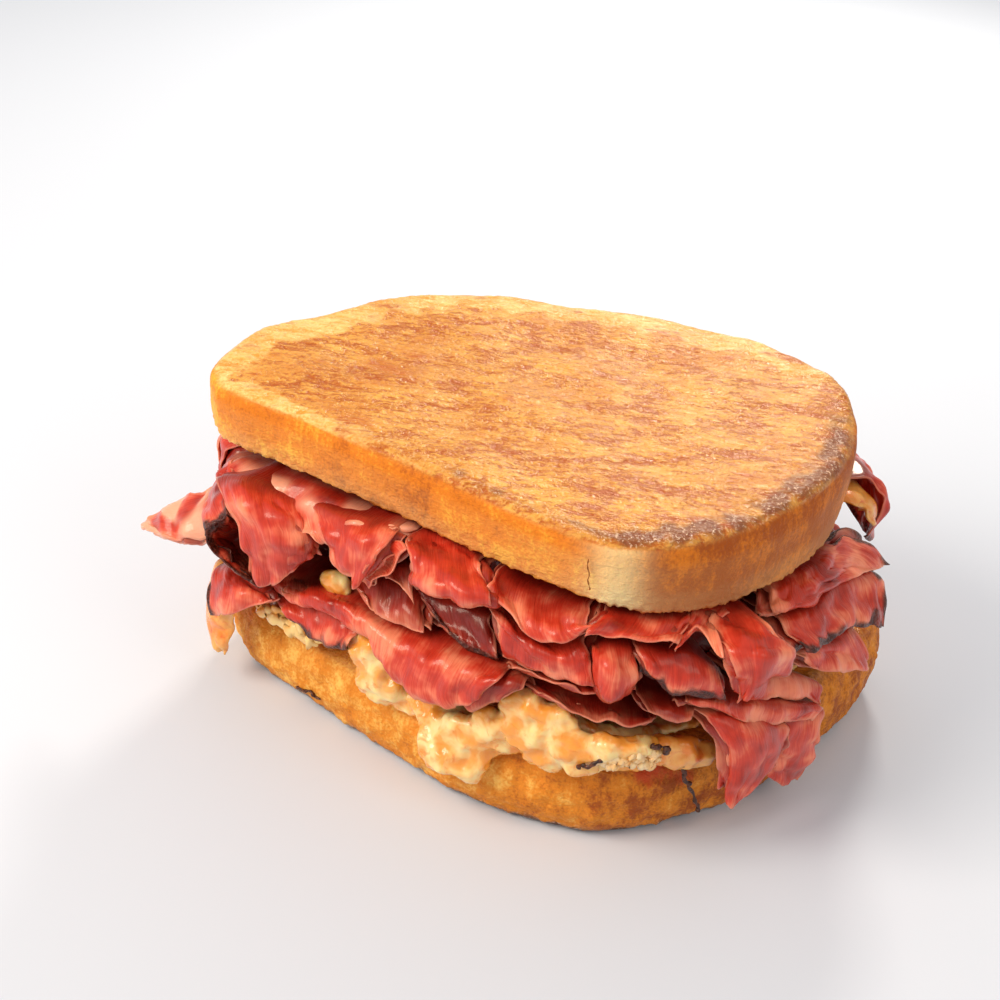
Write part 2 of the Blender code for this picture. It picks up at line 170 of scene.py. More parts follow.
def closed_curve(corners, steps=720):
    """A smooth closed curve through the corners, as points at equal distances, and its length."""
    corners = np.array(corners, float)
    t = np.linspace(0, 1, 24, endpoint=False)[:, None, None]
    a, b, c, d = (np.roll(corners, -k, 0)[None] for k in (-1, 0, 1, 2))
    fine = 0.5 * (2 * b + (c - a) * t + (2 * a - 5 * b + 4 * c - d) * t ** 2
                  + (3 * b - a - 3 * c + d) * t ** 3)
    fine = fine.transpose(1, 0, 2).reshape(-1, 2)
    if np.sum(fine[:, 0] * np.roll(fine[:, 1], -1) - np.roll(fine[:, 0], -1) * fine[:, 1]) < 0:
        fine = fine[::-1]
    ring = np.vstack([fine, fine[:1]])
    length = np.concatenate([[0], np.cumsum(np.linalg.norm(np.diff(ring, axis=0), axis=1))])
    at = np.arange(steps) * length[-1] / steps
    return np.stack([np.interp(at, length, ring[:, k]) for k in (0, 1)], 1), length[-1]


def outwards(curve):
    """The outward direction at each point of a closed curve."""
    ahead = np.roll(curve, -1, 0) - np.roll(curve, 1, 0)
    side = np.stack([ahead[:, 1], -ahead[:, 0]], 1)
    return side / np.linalg.norm(side, axis=1)[:, None]


CURVE, AROUND = closed_curve(FILL)
SIDE = outwards(CURVE)
# soften the turns, so that slices at a corner fan out and don't cross
for _ in range(60):
    SIDE = (np.roll(SIDE, 1, 0) + SIDE + np.roll(SIDE, -1, 0)) / 3
SIDE /= np.linalg.norm(SIDE, axis=1)[:, None]
FRONT = int(np.argmin(np.abs(CURVE[:, 0]) + 100 * (CURVE[:, 1] > 0)))


def place(along, out, height):
    """Points in millimetres, for arrays of distances along and out, and of heights."""
    at = (FRONT + along / AROUND * len(CURVE)) % len(CURVE)
    low = at.astype(int)
    part = (at - low)[..., None]
    high = (low + 1) % len(CURVE)
    spot = CURVE[low] * (1 - part) + CURVE[high] * part
    side = SIDE[low] * (1 - part) + SIDE[high] * part
    return np.concatenate([spot + side * out[..., None], height[..., None]], -1) + SHIFT


def smooth_step(value, low, high):
    """0 below low, 1 above high and a soft rise between them."""
    t = np.clip((value - low) / (high - low), 0, 1)
    return t * t * (3 - 2 * t)


def ripple(points, size, seed, count=24):
    """Even random waves about size millimetres long, with a mean of 0 and a spread of about 1."""
    rng = np.random.default_rng(seed)
    points = np.asarray(points, float)
    ways = rng.normal(size=(count, points.shape[-1]))
    often = 2 * math.pi / size * rng.uniform(0.6, 1.5, count)
    ways *= (often / np.linalg.norm(ways, axis=1))[:, None]
    waves = np.cos(points @ ways.T + rng.uniform(0, 2 * math.pi, count))
    return waves.sum(-1) / math.sqrt(count / 2)


print("outline:", round(AROUND, 1), "mm round")

# %% [markdown]
# ## Griddled bread
# The faces of the bread were fried in butter. That leaves a fine, wrinkled, glossy skin: orange
# where it touched the pan, brown in patches, pale yellow in a margin where the slice curled up,
# and scorched along one edge, with white glints painted into the scorch. The crust round the
# side is smoother and more matt. One recipe serves both slices. It reads where the bread is
# browned, pale or scorched from numbers stored on the mesh, so that the bands follow the outline,
# and adds the fine grain.

# %% Bread materials
def griddled_bread(name, fried, crust, mottled):
    """Bread fried on its faces, with a smoother baked crust round its side."""
    made, t, shader, spot = finish(name, IOR=1.45, Specular_IOR_Level=0.36, Subsurface_Weight=0.08,
                                   Subsurface_Scale=0.0015)
    shader.inputs["Subsurface Radius"].default_value = (1.0, 0.45, 0.15)
    heat, pale, scorch, face, baked, crumb, stain = (
        add(t, "Attribute", out=2, attribute_name=a)
        for a in ("heat", "pale", "scorch", "face", "baked", "crumb", "stain"))
    # the skin's wrinkles are 1 to 3 mm long and lie across the slice, the blotches are 5 by 13 mm
    drawn = add(t, "Mapping", {0: spot, 2: (0.0, 0.0, math.radians(-28))})
    drawn = add(t, "VectorMath", {0: drawn, 1: (0.42, 1.0, 1.0)}, operation="MULTIPLY")
    # the crust is drawn out downwards, with soft patches as wide as the number handed in
    upright = add(t, "VectorMath", {0: spot, 1: (1.0, 1.0, 0.3)}, operation="MULTIPLY")
    patches, blotches, grain, pores, streaks, mottle = (
        add(t, "TexNoise", {"Vector": at, "Scale": 1 / size, "Detail": detail,
                            "Roughness": rough, "Distortion": twist})
        for at, size, detail, rough, twist in (
            (spot, 22, 3, 0.5, 0.5), (drawn, 5.5, 4, 0.6, 0.0), (drawn, 1.35, 3, 0.62, 0.7),
            (spot, 0.7, 2, 0.5, 0.0), (upright, 1.6, 3, 0.6, 0.0), (spot, mottled, 4, 0.55, 0.0)))
    fleck, warm, burnt, run, tone = -0.25, -1.28, -0.45, -0.45, -0.21
    for value, share in ((pores, 0.5), (blotches, 0.9), (grain, 0.9)):
        fleck = add(t, "Math", {0: value, 1: share, 2: fleck}, **SUM)
    for value, share in ((patches, 0.9), (blotches, 1.0), (grain, 0.65), (heat, 0.95)):
        warm = add(t, "Math", {0: value, 1: share, 2: warm}, **SUM)
    for value, share in ((grain, 0.9), (scorch, 1.0)):
        burnt = add(t, "Math", {0: value, 1: share, 2: burnt}, **SUM)
    part = add(t, "MapRange", {0: fleck, 1: 0.66, 2: 1.14}, **SOFT)
    toast, edge = (add(t, "Mix", {0: part, 6: fried[area][0], 7: fried[area][1]}, 2, **TINT)
                   for area in ("field", "margin"))
    for value, low, high, most, tint in (
            (pale, 0.25, 0.75, 1.0, edge), (warm, 0.04, 0.36, 1.0, fried["brown"]),
            (warm, 0.34, 0.80, 1.0, fried["dark"]), (burnt, 0.2, 1.05, 0.9, fried["scorched"])):
        part = add(t, "MapRange", {0: value, 1: low, 2: high, 4: most}, **SOFT)
        toast = add(t, "Mix", {0: part, 6: toast, 7: tint}, 2, **TINT)
    # painted glints: pale specks in the scorched band stand in for light glinting off it
    painted_glints = add(t, "MapRange", {0: pores, 1: 0.58, 2: 0.66}, **SOFT)
    painted_glints = add(t, "Math", {0: painted_glints, 1: scorch}, operation="MULTIPLY")
    toast = add(t, "Mix", {0: painted_glints, 6: toast, 7: "#E0BDA4"}, 2, **TINT)
    # the side crust's tone, darker where it is more baked and, on the right side, with painted
    # shade
    for value, share in ((pores, 0.42), (mottle, 1.0), (streaks, 0.45), (baked, -0.45)):
        tone = add(t, "Math", {0: value, 1: share, 2: tone}, **SUM)
    skin = crust[0]
    for low, high, tint in ((0.30, 0.66, crust[1]), (0.64, 0.96, crust[2])):
        part = add(t, "MapRange", {0: tone, 1: low, 2: high}, **SOFT)
        skin = add(t, "Mix", {0: part, 6: skin, 7: tint}, 2, **TINT)
    for value, share in ((streaks, 0.9), (stain, 1.0)):
        run = add(t, "Math", {0: value, 1: share, 2: run}, **SUM)
    part = add(t, "MapRange", {0: run, 1: 0.3, 2: 0.7}, **SOFT)
    tint = skin
    for share, over in ((crumb, "#FFEEB0"), (face, toast), (part, "#C2481A")):
        tint = add(t, "Mix", {0: share, 6: tint, 7: over}, 2, **TINT)
    t.links.new(tint, shader.inputs["Base Color"])
    gloss = add(t, "MapRange", {0: face, 3: 0.52, 4: 0.16})
    gloss = add(t, "Math", {0: blotches, 1: 0.24, 2: gloss}, **SUM)
    t.links.new(gloss, shader.inputs["Roughness"])
    depth = add(t, "MapRange", {0: face, 3: 0.55, 4: 1.0})
    relief = add(t, "Math", {0: grain, 1: depth}, operation="MULTIPLY")
    for value, share in ((pores, 0.35), (streaks, 0.3)):
        relief = add(t, "Math", {0: value, 1: share, 2: relief}, **SUM)
    bump = add(t, "Bump", {"Strength": 0.95, "Distance": 0.0008, "Height": relief})
    t.links.new(bump, shader.inputs["Normal"])
    return made


golden = {"field": ("#BA5C18", "#FBBC58"), "margin": ("#EDA23C", "#FFE092"), "brown": "#C66620",
          "dark": "#9A5220", "scorched": "#84482E"}
tan = {"field": ("#C46A1C", "#EDA244"), "margin": ("#D27E26", "#F2AE50"), "brown": "#A3561C",
       "dark": "#753C16", "scorched": "#5E3216"}
toast_top = griddled_bread("fried_bread_golden", golden, ("#AC5206", "#E27E10", "#FAB636"), 12)
toast_base = griddled_bread("fried_bread_tan", tan, ("#A04C10", "#E28A24", "#FFC662"), 7)
print("materials:", toast_top.name, toast_base.name)

# %% [markdown]
# ## The bread's shape
# A slice starts as a copy of its solid, merged and remeshed into even small faces, because the
# solid's long flat faces can't carry any relief. The faces are then swollen, pitted and roughened
# by moving the points along their normals, which is what a sculptor's brush does.

# %% Helpers for pieces
def only(piece):
    """Deselect everything but this piece."""
    bpy.ops.object.select_all(action="DESELECT")
    piece.select_set(True)
    bpy.context.view_layer.objects.active = piece


def apply(piece, kind, **settings):
    """Add a modifier with its settings and apply it."""
    only(piece)
    made = piece.modifiers.new(kind.lower(), kind)
    for key, value in settings.items():
        setattr(made, key, value)
    bpy.ops.object.modifier_apply(modifier=made.name)


def copy_of(node, name):
    """A new piece with a merged copy of a solid's mesh."""
    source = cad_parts[node]
    made = bpy.data.objects.new(name, source.data.copy())
    bpy.context.scene.collection.objects.link(made)
    made.data.transform(source.matrix_world)
    made.data.materials.clear()
    only(made)
    bpy.ops.object.mode_set(mode="EDIT")
    bpy.ops.mesh.select_all(action="SELECT")
    bpy.ops.mesh.remove_doubles(threshold=1e-6)
    bpy.ops.mesh.normals_make_consistent(inside=False)
    bpy.ops.object.mode_set(mode="OBJECT")
    return made


def points_of(piece):
    """The points of a piece and their normals, as arrays in millimetres."""
    spots = np.empty(3 * len(piece.data.vertices))
    piece.data.vertices.foreach_get("co", spots)
    normals = np.empty(3 * len(piece.data.vertices))
    piece.data.vertex_normals.foreach_get("vector", normals)
    return spots.reshape(-1, 3) / MM, normals.reshape(-1, 3)


def move_points(piece, spots):
    """Put the points of a piece at these places in millimetres."""
    piece.data.vertices.foreach_set("co", (spots * MM).ravel())
    piece.data.update()


def keep_numbers(piece, **table):
    """Store numbers for each point under their names, which a material can read."""
    for name, values in table.items():
        layer = piece.data.attributes.new(name, "FLOAT", "POINT")
        layer.data.foreach_set("value", np.asarray(values, np.float32).ravel())


def hand_over(piece, finish_, slot, *nodes):
    """Give a piece its material, smooth shading and body, and hide the solids it stands for."""
    piece.data.materials.clear()
    piece.data.materials.append(finish_)
    piece.data.polygons.foreach_set("use_smooth", [True] * len(piece.data.polygons))
    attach(piece, "root")
    if nodes:
        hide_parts(*nodes)


def from_edge(spots, outline):
    """How far points are from an outline seen from above, and the outward direction there."""
    curve, _ = closed_curve(outline)
    side = outwards(curve)
    curve = curve + SHIFT[:2]
    near = np.empty(len(spots), int)
    for first in range(0, len(spots), 5000):
        part = spots[first:first + 5000, None, :2]
        near[first:first + 5000] = ((part - curve[None]) ** 2).sum(-1).argmin(1)
    gap = ((curve[near] - spots[:, :2]) * side[near]).sum(1)
    return gap, side[near]

# %% Upper slice
TOP = [(-59, -52), (-68, -40), (-70.5, -22), (-63, -4), (-61, 8), (-46, 29), (-24, 40), (-2, 50),
       (24, 55.5), (47, 52), (63, 33), (70, 5), (65, -25), (54, -44), (37, -50.5), (0, -51),
       (-35, -51.5)]
# where the pan browned the slice most, and where it stayed pale: x, y, how wide and how much
TOASTED = [(-43, -35, 9, 1.0), (-14, -36, 7, 0.9), (-26, -34, 9, 0.6), (-10, 26, 12, 0.5),
           (5, -38, 6, 0.5), (36, -35, 9, 0.7), (49, 0, 9, 0.6), (58, 14, 10, 0.6),
           (61, -16, 9, 0.8), (-6, 49, 8, 0.5), (-6, -10, 10, 0.35), (30, 20, 12, 0.3),
           (-35, 10, 11, -0.8),
           (-47, -10, 8, -0.6), (2, -30, 7, -0.6), (19, -38, 6, -0.6), (47, -8, 5, -0.5),
           (-28, 34, 9, -0.5), (38, 36, 9, -0.4), (15, 2, 9, -0.4)]

upper = copy_of("top_slice", "bread_upper")
apply(upper, "REMESH", mode="VOXEL", voxel_size=0.0008)
apply(upper, "SMOOTH", factor=0.5, iterations=14)
spots, normals = points_of(upper)
rim, side = from_edge(spots, TOP)
over = smooth_step(normals[:, 2], 0.45, 0.8)
under = smooth_step(-normals[:, 2], 0.3, 0.8)
lower_edge = smooth_step(-normals[:, 2], -0.15, 0.5)
lift = 0.30 * ripple(spots[:, :2], 34, 3) * over + 0.10 * ripple(spots, 11, 4)
lift += 0.06 * ripple(spots * (0.5, 1, 1), 2.2, 5) * over
lift += (0.07 * ripple(spots, 4.5, 6, 40) + 0.17 * ripple(spots, 1.8, 8, 40)) * lower_edge
move_points(upper, spots + normals * lift[:, None])
wander = spots[:, :2] + 2.5 * np.stack([ripple(spots[:, :2], 9, 9), ripple(spots[:, :2], 9, 10)], 1)
heat = sum(much * np.exp(-((wander - (x, y)) ** 2).sum(1) / wide ** 2)
           for x, y, wide, much in TOASTED)
front_edge = smooth_step(-side[:, 1], 0.3, 0.8) * smooth_step(spots[:, 0], -50, 20)
right_edge = smooth_step(side[:, 0], 0.15, 0.6) * smooth_step(spots[:, 1], 52, 20)
scorch = (0.62 * front_edge * np.exp(-((rim - 2.4) / 1.8) ** 2)
          + 1.15 * right_edge * np.exp(-((rim - 3.0) / 3.6) ** 2))
scorch *= 0.85 + 0.25 * ripple(spots, 6, 12)
left_back = smooth_step(0.75 * spots[:, 1] - 0.65 * spots[:, 0] + 8, 0, 26)
front_left = smooth_step(-spots[:, 0], -5, 35) * smooth_step(-side[:, 1], 0.2, 0.7)
reach = rim + 1.2 * ripple(spots[:, :2], 12, 11)
pale = np.maximum(left_back * (1 - smooth_step(reach, 7, 13)),
                  front_left * (1 - smooth_step(reach, 3, 6)))
corner = np.hypot(spots[:, 0] - 49, spots[:, 1] + 46)
darker = 0.35 * smooth_step(2.0 - np.abs(spots[:, 0] + 2) / 14, 0, 2)
crumb = 0.85 * np.exp(-(corner / 5.5) ** 2) * (1 - over) + 0.30 * lower_edge * (1 - under)
# the crust is darker in a browned patch in the middle of the front side, and on the right side,
# partly more baked and partly painted shade on the side turned from the main light
keep_numbers(upper, heat=heat, scorch=np.clip(scorch, 0, 1.3), pale=pale,
             face=np.maximum(over, under), crumb=crumb,
             baked=0.8 * smooth_step(side[:, 0], 0.1, 0.8) + darker, stain=0 * rim)
hand_over(upper, toast_top, "toast_top", "top_slice")
print("upper slice:", len(upper.data.polygons), "faces")

# %% Lower slice
BASE = [(-54, -46), (-66, -36), (-69, -12), (-65, 14), (-50, 38), (-20, 53), (15, 60), (48, 62),
        (68, 57), (74, 40), (73.5, 20), (70, -6), (61, -26), (48, -43), (22, -51.5), (0, -51.5),
        (-30, -49)]
# where the dressing ran down: x, y, z, how wide and how much
RUNS = [(56, -34, 19, 5.5, 0.9), (62, -27, 16, 4, 0.7), (-20, -49, 12, 5, 0.25)]

lower = copy_of("bottom_slice", "bread_lower")
apply(lower, "REMESH", mode="VOXEL", voxel_size=0.0008)
apply(lower, "SMOOTH", factor=0.5, iterations=12)
spots, normals = points_of(lower)
rim, side = from_edge(spots, BASE)
flat = smooth_step(np.abs(normals[:, 2]), 0.55, 0.9)
off_floor = smooth_step(spots[:, 2], 0.0, 2.0)
lift = 0.20 * ripple(spots, 8, 14) + 0.12 * ripple(spots, 3, 15, 40)
lift += 0.06 * ripple(spots, 1.7, 16, 40)
move_points(lower, spots + normals * (lift * off_floor)[:, None])
stain = sum(much * np.exp(-((spots - (x, y, z)) ** 2).sum(1) / wide ** 2)
            for x, y, z, wide, much in RUNS)
foot = 1 - smooth_step(spots[:, 2] + 0.5 * ripple(spots, 5, 17), 0.6, 4.2)
# the lower slice's right side is darker too, partly more baked and partly painted shade
keep_numbers(lower, heat=0.4 * foot, scorch=foot, pale=0.3 * smooth_step(spots[:, 2], 12, 22),
             face=np.maximum(flat, foot), crumb=0 * rim, stain=stain,
             baked=0.55 * smooth_step(side[:, 0], 0.0, 0.8))
hand_over(lower, toast_base, "toast_base", "bottom_slice")
print("lower slice:", len(lower.data.polygons), "faces")

# %% [markdown]
# ## Corned beef
# Cured beef brisket is sliced about a millimetre thick and laid in loose folds. The cure keeps it
# pink-red, the long muscle fibres show as fine streaks, the cut edges are paler, partly dry and
# partly a painted highlight where light catches them, and the peppered outside of the brisket is a
# dark, rough rim on some slices. The surface is wet with fat, so it has a thin clear gloss over the
# streaks.

# %% Corned beef material
def corned_beef(name, deep, flesh, light):
    """Wet cured meat with fibres, from a deep to a light tone, with pale edges that are partly dry
    and partly a painted highlight, and a dark rind.
    """
    made, t, shader, spot = finish(name, IOR=1.40, Specular_IOR_Level=0.4, Subsurface_Weight=0.2,
                                   Subsurface_Scale=0.0014, Coat_Weight=0.35, Coat_Roughness=0.14)
    shader.inputs["Subsurface Radius"].default_value = (1.0, 0.28, 0.18)
    # pale fat patches; on the left tip they are laid on thick as painted light shining through the
    # tip
    edge, crust, fat, root = (add(t, "Attribute", out=2, attribute_name=a)
                             for a in ("edge", "crust", "fat", "root"))
    laid = add(t, "UVMap", uv_map="UVMap")
    # muscle fibres are about 0.5 mm thick and run out of the pile over each fold
    fibre = add(t, "VectorMath", {0: laid, 1: (1 / 0.45, 1 / 6.0, 1.0)}, operation="MULTIPLY")
    fibres = add(t, "TexNoise", {"Vector": fibre, "Scale": 1.0, "Detail": 3, "Distortion": 0.5})
    muscle = add(t, "VectorMath", {0: laid, 1: (1 / 3.0, 1 / 14.0, 1.0)}, operation="MULTIPLY")
    bands = add(t, "TexNoise", {"Vector": muscle, "Scale": 1.0, "Detail": 2, "Distortion": 0.4})
    cloud = add(t, "TexNoise", {"Vector": spot, "Scale": 1 / 9, "Detail": 3})
    # painted light: the last 6 mm of a slice, where it gets thin, is made lighter as if light shone
    # through
    thin = add(t, "MapRange", {0: edge, 1: 6.0, 2: 0.0, 3: 0.0, 4: 0.07}, **SOFT)
    tone = 0.13
    for value, share in ((fibres, 0.17), (bands, 0.15), (cloud, 0.70), (thin, 1.0)):
        tone = add(t, "Math", {0: value, 1: share, 2: tone}, **SUM)
    meat = deep
    for low, high, tint in ((0.40, 0.72, flesh), (0.64, 0.84, light)):
        part = add(t, "MapRange", {0: tone, 1: low, 2: high}, **SOFT)
        meat = add(t, "Mix", {0: part, 6: meat, 7: tint}, 2, **TINT)
    # the pale cut edge: partly its dry colour, partly a painted highlight where light catches it
    rim = add(t, "MapRange", {0: edge, 1: 1.1, 2: 0.1, 3: 0.0, 4: 0.4}, **SOFT)
    pepper = add(t, "TexVoronoi", {"Vector": spot, "Scale": 1 / 0.9, "Randomness": 1.0})
    rind = add(t, "Mix", {0: pepper, 6: "#2A0D0A", 7: "#6B2A1C"}, 2, **TINT)
    # the deep red mixed in near the bread is painted shade
    for part, tint in ((fat, "#FBB294"), (root, "#5C0B08"), (rim, "#F4A486"), (crust, rind)):
        meat = add(t, "Mix", {0: part, 6: meat, 7: tint}, 2, **TINT)
    t.links.new(meat, shader.inputs["Base Color"])
    wet = add(t, "MapRange", {0: cloud, 1: 0.35, 2: 0.65, 3: 0.28, 4: 0.48})
    t.links.new(wet, shader.inputs["Roughness"])
    rough = add(t, "Math", {0: pepper, 1: crust}, operation="MULTIPLY")
    relief = 0.0
    for value, share in ((fibres, 0.5), (bands, 0.15), (rough, 2.0)):
        relief = add(t, "Math", {0: value, 1: share, 2: relief}, **SUM)
    bump = add(t, "Bump", {"Strength": 0.7, "Distance": 0.0005, "Height": relief})
    t.links.new(bump, shader.inputs["Normal"])
    return made


beef = corned_beef("corned_beef_wet", "#84120C", "#D43C26", "#FA926E")
# a darker copy of the same meat, as painted shade for the inside of the pile
beef_painted_shade = corned_beef("corned_beef_shaded", "#3A0806", "#6E130D", "#8E2A20")
print("materials:", beef.name, beef_painted_shade.name)

# %% [markdown]
# ## Sheets of meat
# Each slice is one thin sheet that comes out of the pile, bends over and hangs or tucks back in.
# It could be dropped by a cloth simulation, but then it would not lie where its solid does. So it
# is laid out from listed rows: a few rows of points run along the slice, from the bread to its
# free edge, and a smooth surface goes through them. A flat grid is moved onto that surface,
# ruffled and frayed by a seeded rule, and thickened with a Solidify modifier that thins out towards
# the cut edge.

# %% A smooth surface through rows of points
def spline(at, count):
    """The four knots that a smooth line reads at each place from 0 to 1, and the share of each."""
    steps = np.clip(at, 0, 1) * (count - 1)
    low = np.minimum(steps.astype(int), count - 2)
    t = steps - low
    near = np.clip(low[:, None] + np.arange(-1, 3), 0, count - 1)
    share = 0.5 * np.stack([2 * t ** 2 - t - t ** 3, 2 - 5 * t ** 2 + 3 * t ** 3,
                            t + 4 * t ** 2 - 3 * t ** 3, t ** 3 - t ** 2], 1)
    return near, share


def through(rows, inside=11.0):
    """A surface through rows of (along, out, height), its width, length and hidden length."""
    rows = np.array(rows, float)
    bend, root = rows[0] + (0, -4.5, 0.2), rows[0] + (0, 0, 0.4)
    root[:, 1] = np.minimum(root[:, 1] - 7.5, -inside)
    spots = place(*np.moveaxis(np.concatenate([[root, bend], rows]), -1, 0))
    down = np.linalg.norm(np.diff(spots, axis=0), axis=-1).mean(1)
    across = np.linalg.norm(np.diff(spots[2:], axis=1), axis=-1).mean(0)
    lines, columns = (np.concatenate([[0], np.cumsum(gaps)]) for gaps in (down, across))

    def surface(u, v):
        (near_v, share_v), (near_u, share_u) = (
            spline(np.interp(at * marks[-1], marks, np.linspace(0, 1, len(marks))), len(marks))
            for at, marks in ((v, lines), (u, columns)))
        return np.einsum("nv,nu,nvuk->nk", share_v, share_u,
                         spots[near_v[:, :, None], near_u[:, None, :]])

    return surface, columns[-1], lines[-1], lines[2]

# %% One thin slice
CELL = 0.65     # mm from one point of a sheet's grid to the next


def leaf(surface, wide, tall, hidden, seed, frill=0.40, fray=0.35, thick=1.10, rind=(), fat=0.0,
         shade=4.0):
    """A thin slice as a piece: a grid laid on its surface, frayed, ruffled and thickened."""
    bpy.ops.object.select_all(action="DESELECT")
    bpy.ops.mesh.primitive_grid_add(x_subdivisions=max(round(wide / CELL), 12),
                                    y_subdivisions=max(round(tall / CELL), 12), size=1.0)
    made = bpy.context.object
    flat = np.empty(3 * len(made.data.vertices))
    made.data.vertices.foreach_get("co", flat)
    u, v = flat.reshape(-1, 3)[:, 0] + 0.5, flat.reshape(-1, 3)[:, 1] + 0.5
    laid = np.stack([u * wide, v * tall], 1)
    # the cut edge wanders by about a millimetre, with finer nicks on top
    tear = ripple(laid, 9, seed) + 0.3 * ripple(laid, 2.6, seed + 1)
    ends = smooth_step(np.abs(2 * u - 1), 0.6, 1.0) * (2 * u - 1)
    free = smooth_step(v, 0.6, 1.0)
    u2 = (u + fray / wide * (tear - 1) * ends)
    v2 = (v + fray / tall * (tear - 1) * free)
    spots = surface(np.clip(u2, 0, 1), np.clip(v2, 0, 1))
    move_points(made, spots)
    spots, normals = points_of(made)
    outer = smooth_step(laid[:, 1], hidden - 2, hidden + 4)
    border = np.minimum(np.minimum(u, 1 - u) * wide, (1 - v) * tall)
    bend = 0.26 * ripple(laid, 8, seed + 4) + 0.09 * ripple(laid * (1, 0.5), 3.0, seed + 5)
    bend += frill * (1 - smooth_step(border, 0.3, 6)) * ripple(laid, 8, seed + 6)
    move_points(made, spots + normals * (bend * outer)[:, None])
    group = made.vertex_groups.new(name="full")
    for k, weight in enumerate(smooth_step(border, 0.0, 2.4)):
        group.add([k], float(weight), "REPLACE")
    dark = np.zeros(len(u))
    far = {"free": (1 - v) * tall, "left": u * wide, "right": (1 - u) * wide}
    for edge in rind:
        uneven = far[edge] + 0.7 * ripple(laid, 5, seed + 7)
        dark = np.maximum(dark, 1 - smooth_step(uneven, 1.0, 2.6))
    # painted shade: the sheet is darkened where it comes out from under the bread, fading out shade
    # millimetres further on, so a large shade darkens most of the slice
    keep_numbers(made, edge=border, crust=dark,
                 fat=fat * smooth_step(ripple(laid, 12, seed + 8), -0.6, 1.2),
                 root=0.7 * (1 - smooth_step(laid[:, 1], hidden - 3, hidden + shade)))
    corner = np.empty(len(made.data.loops), int)
    made.data.loops.foreach_get("vertex_index", corner)
    made.data.uv_layers[0].data.foreach_set("uv", laid[corner].ravel())
    apply(made, "SOLIDIFY", thickness=thick * MM, offset=0.0, vertex_group="full",
          thickness_vertex_group=0.25)
    return made


def join(parts, name):
    """Join pieces into the first one and name it."""
    bpy.ops.object.select_all(action="DESELECT")
    for part in parts:
        part.select_set(True)
    bpy.context.view_layer.objects.active = parts[0]
    if len(parts) > 1:
        bpy.ops.object.join()
    parts[0].name = name
    return parts[0]


print("a sheet 30 mm wide has", round(30 / CELL), "points across")
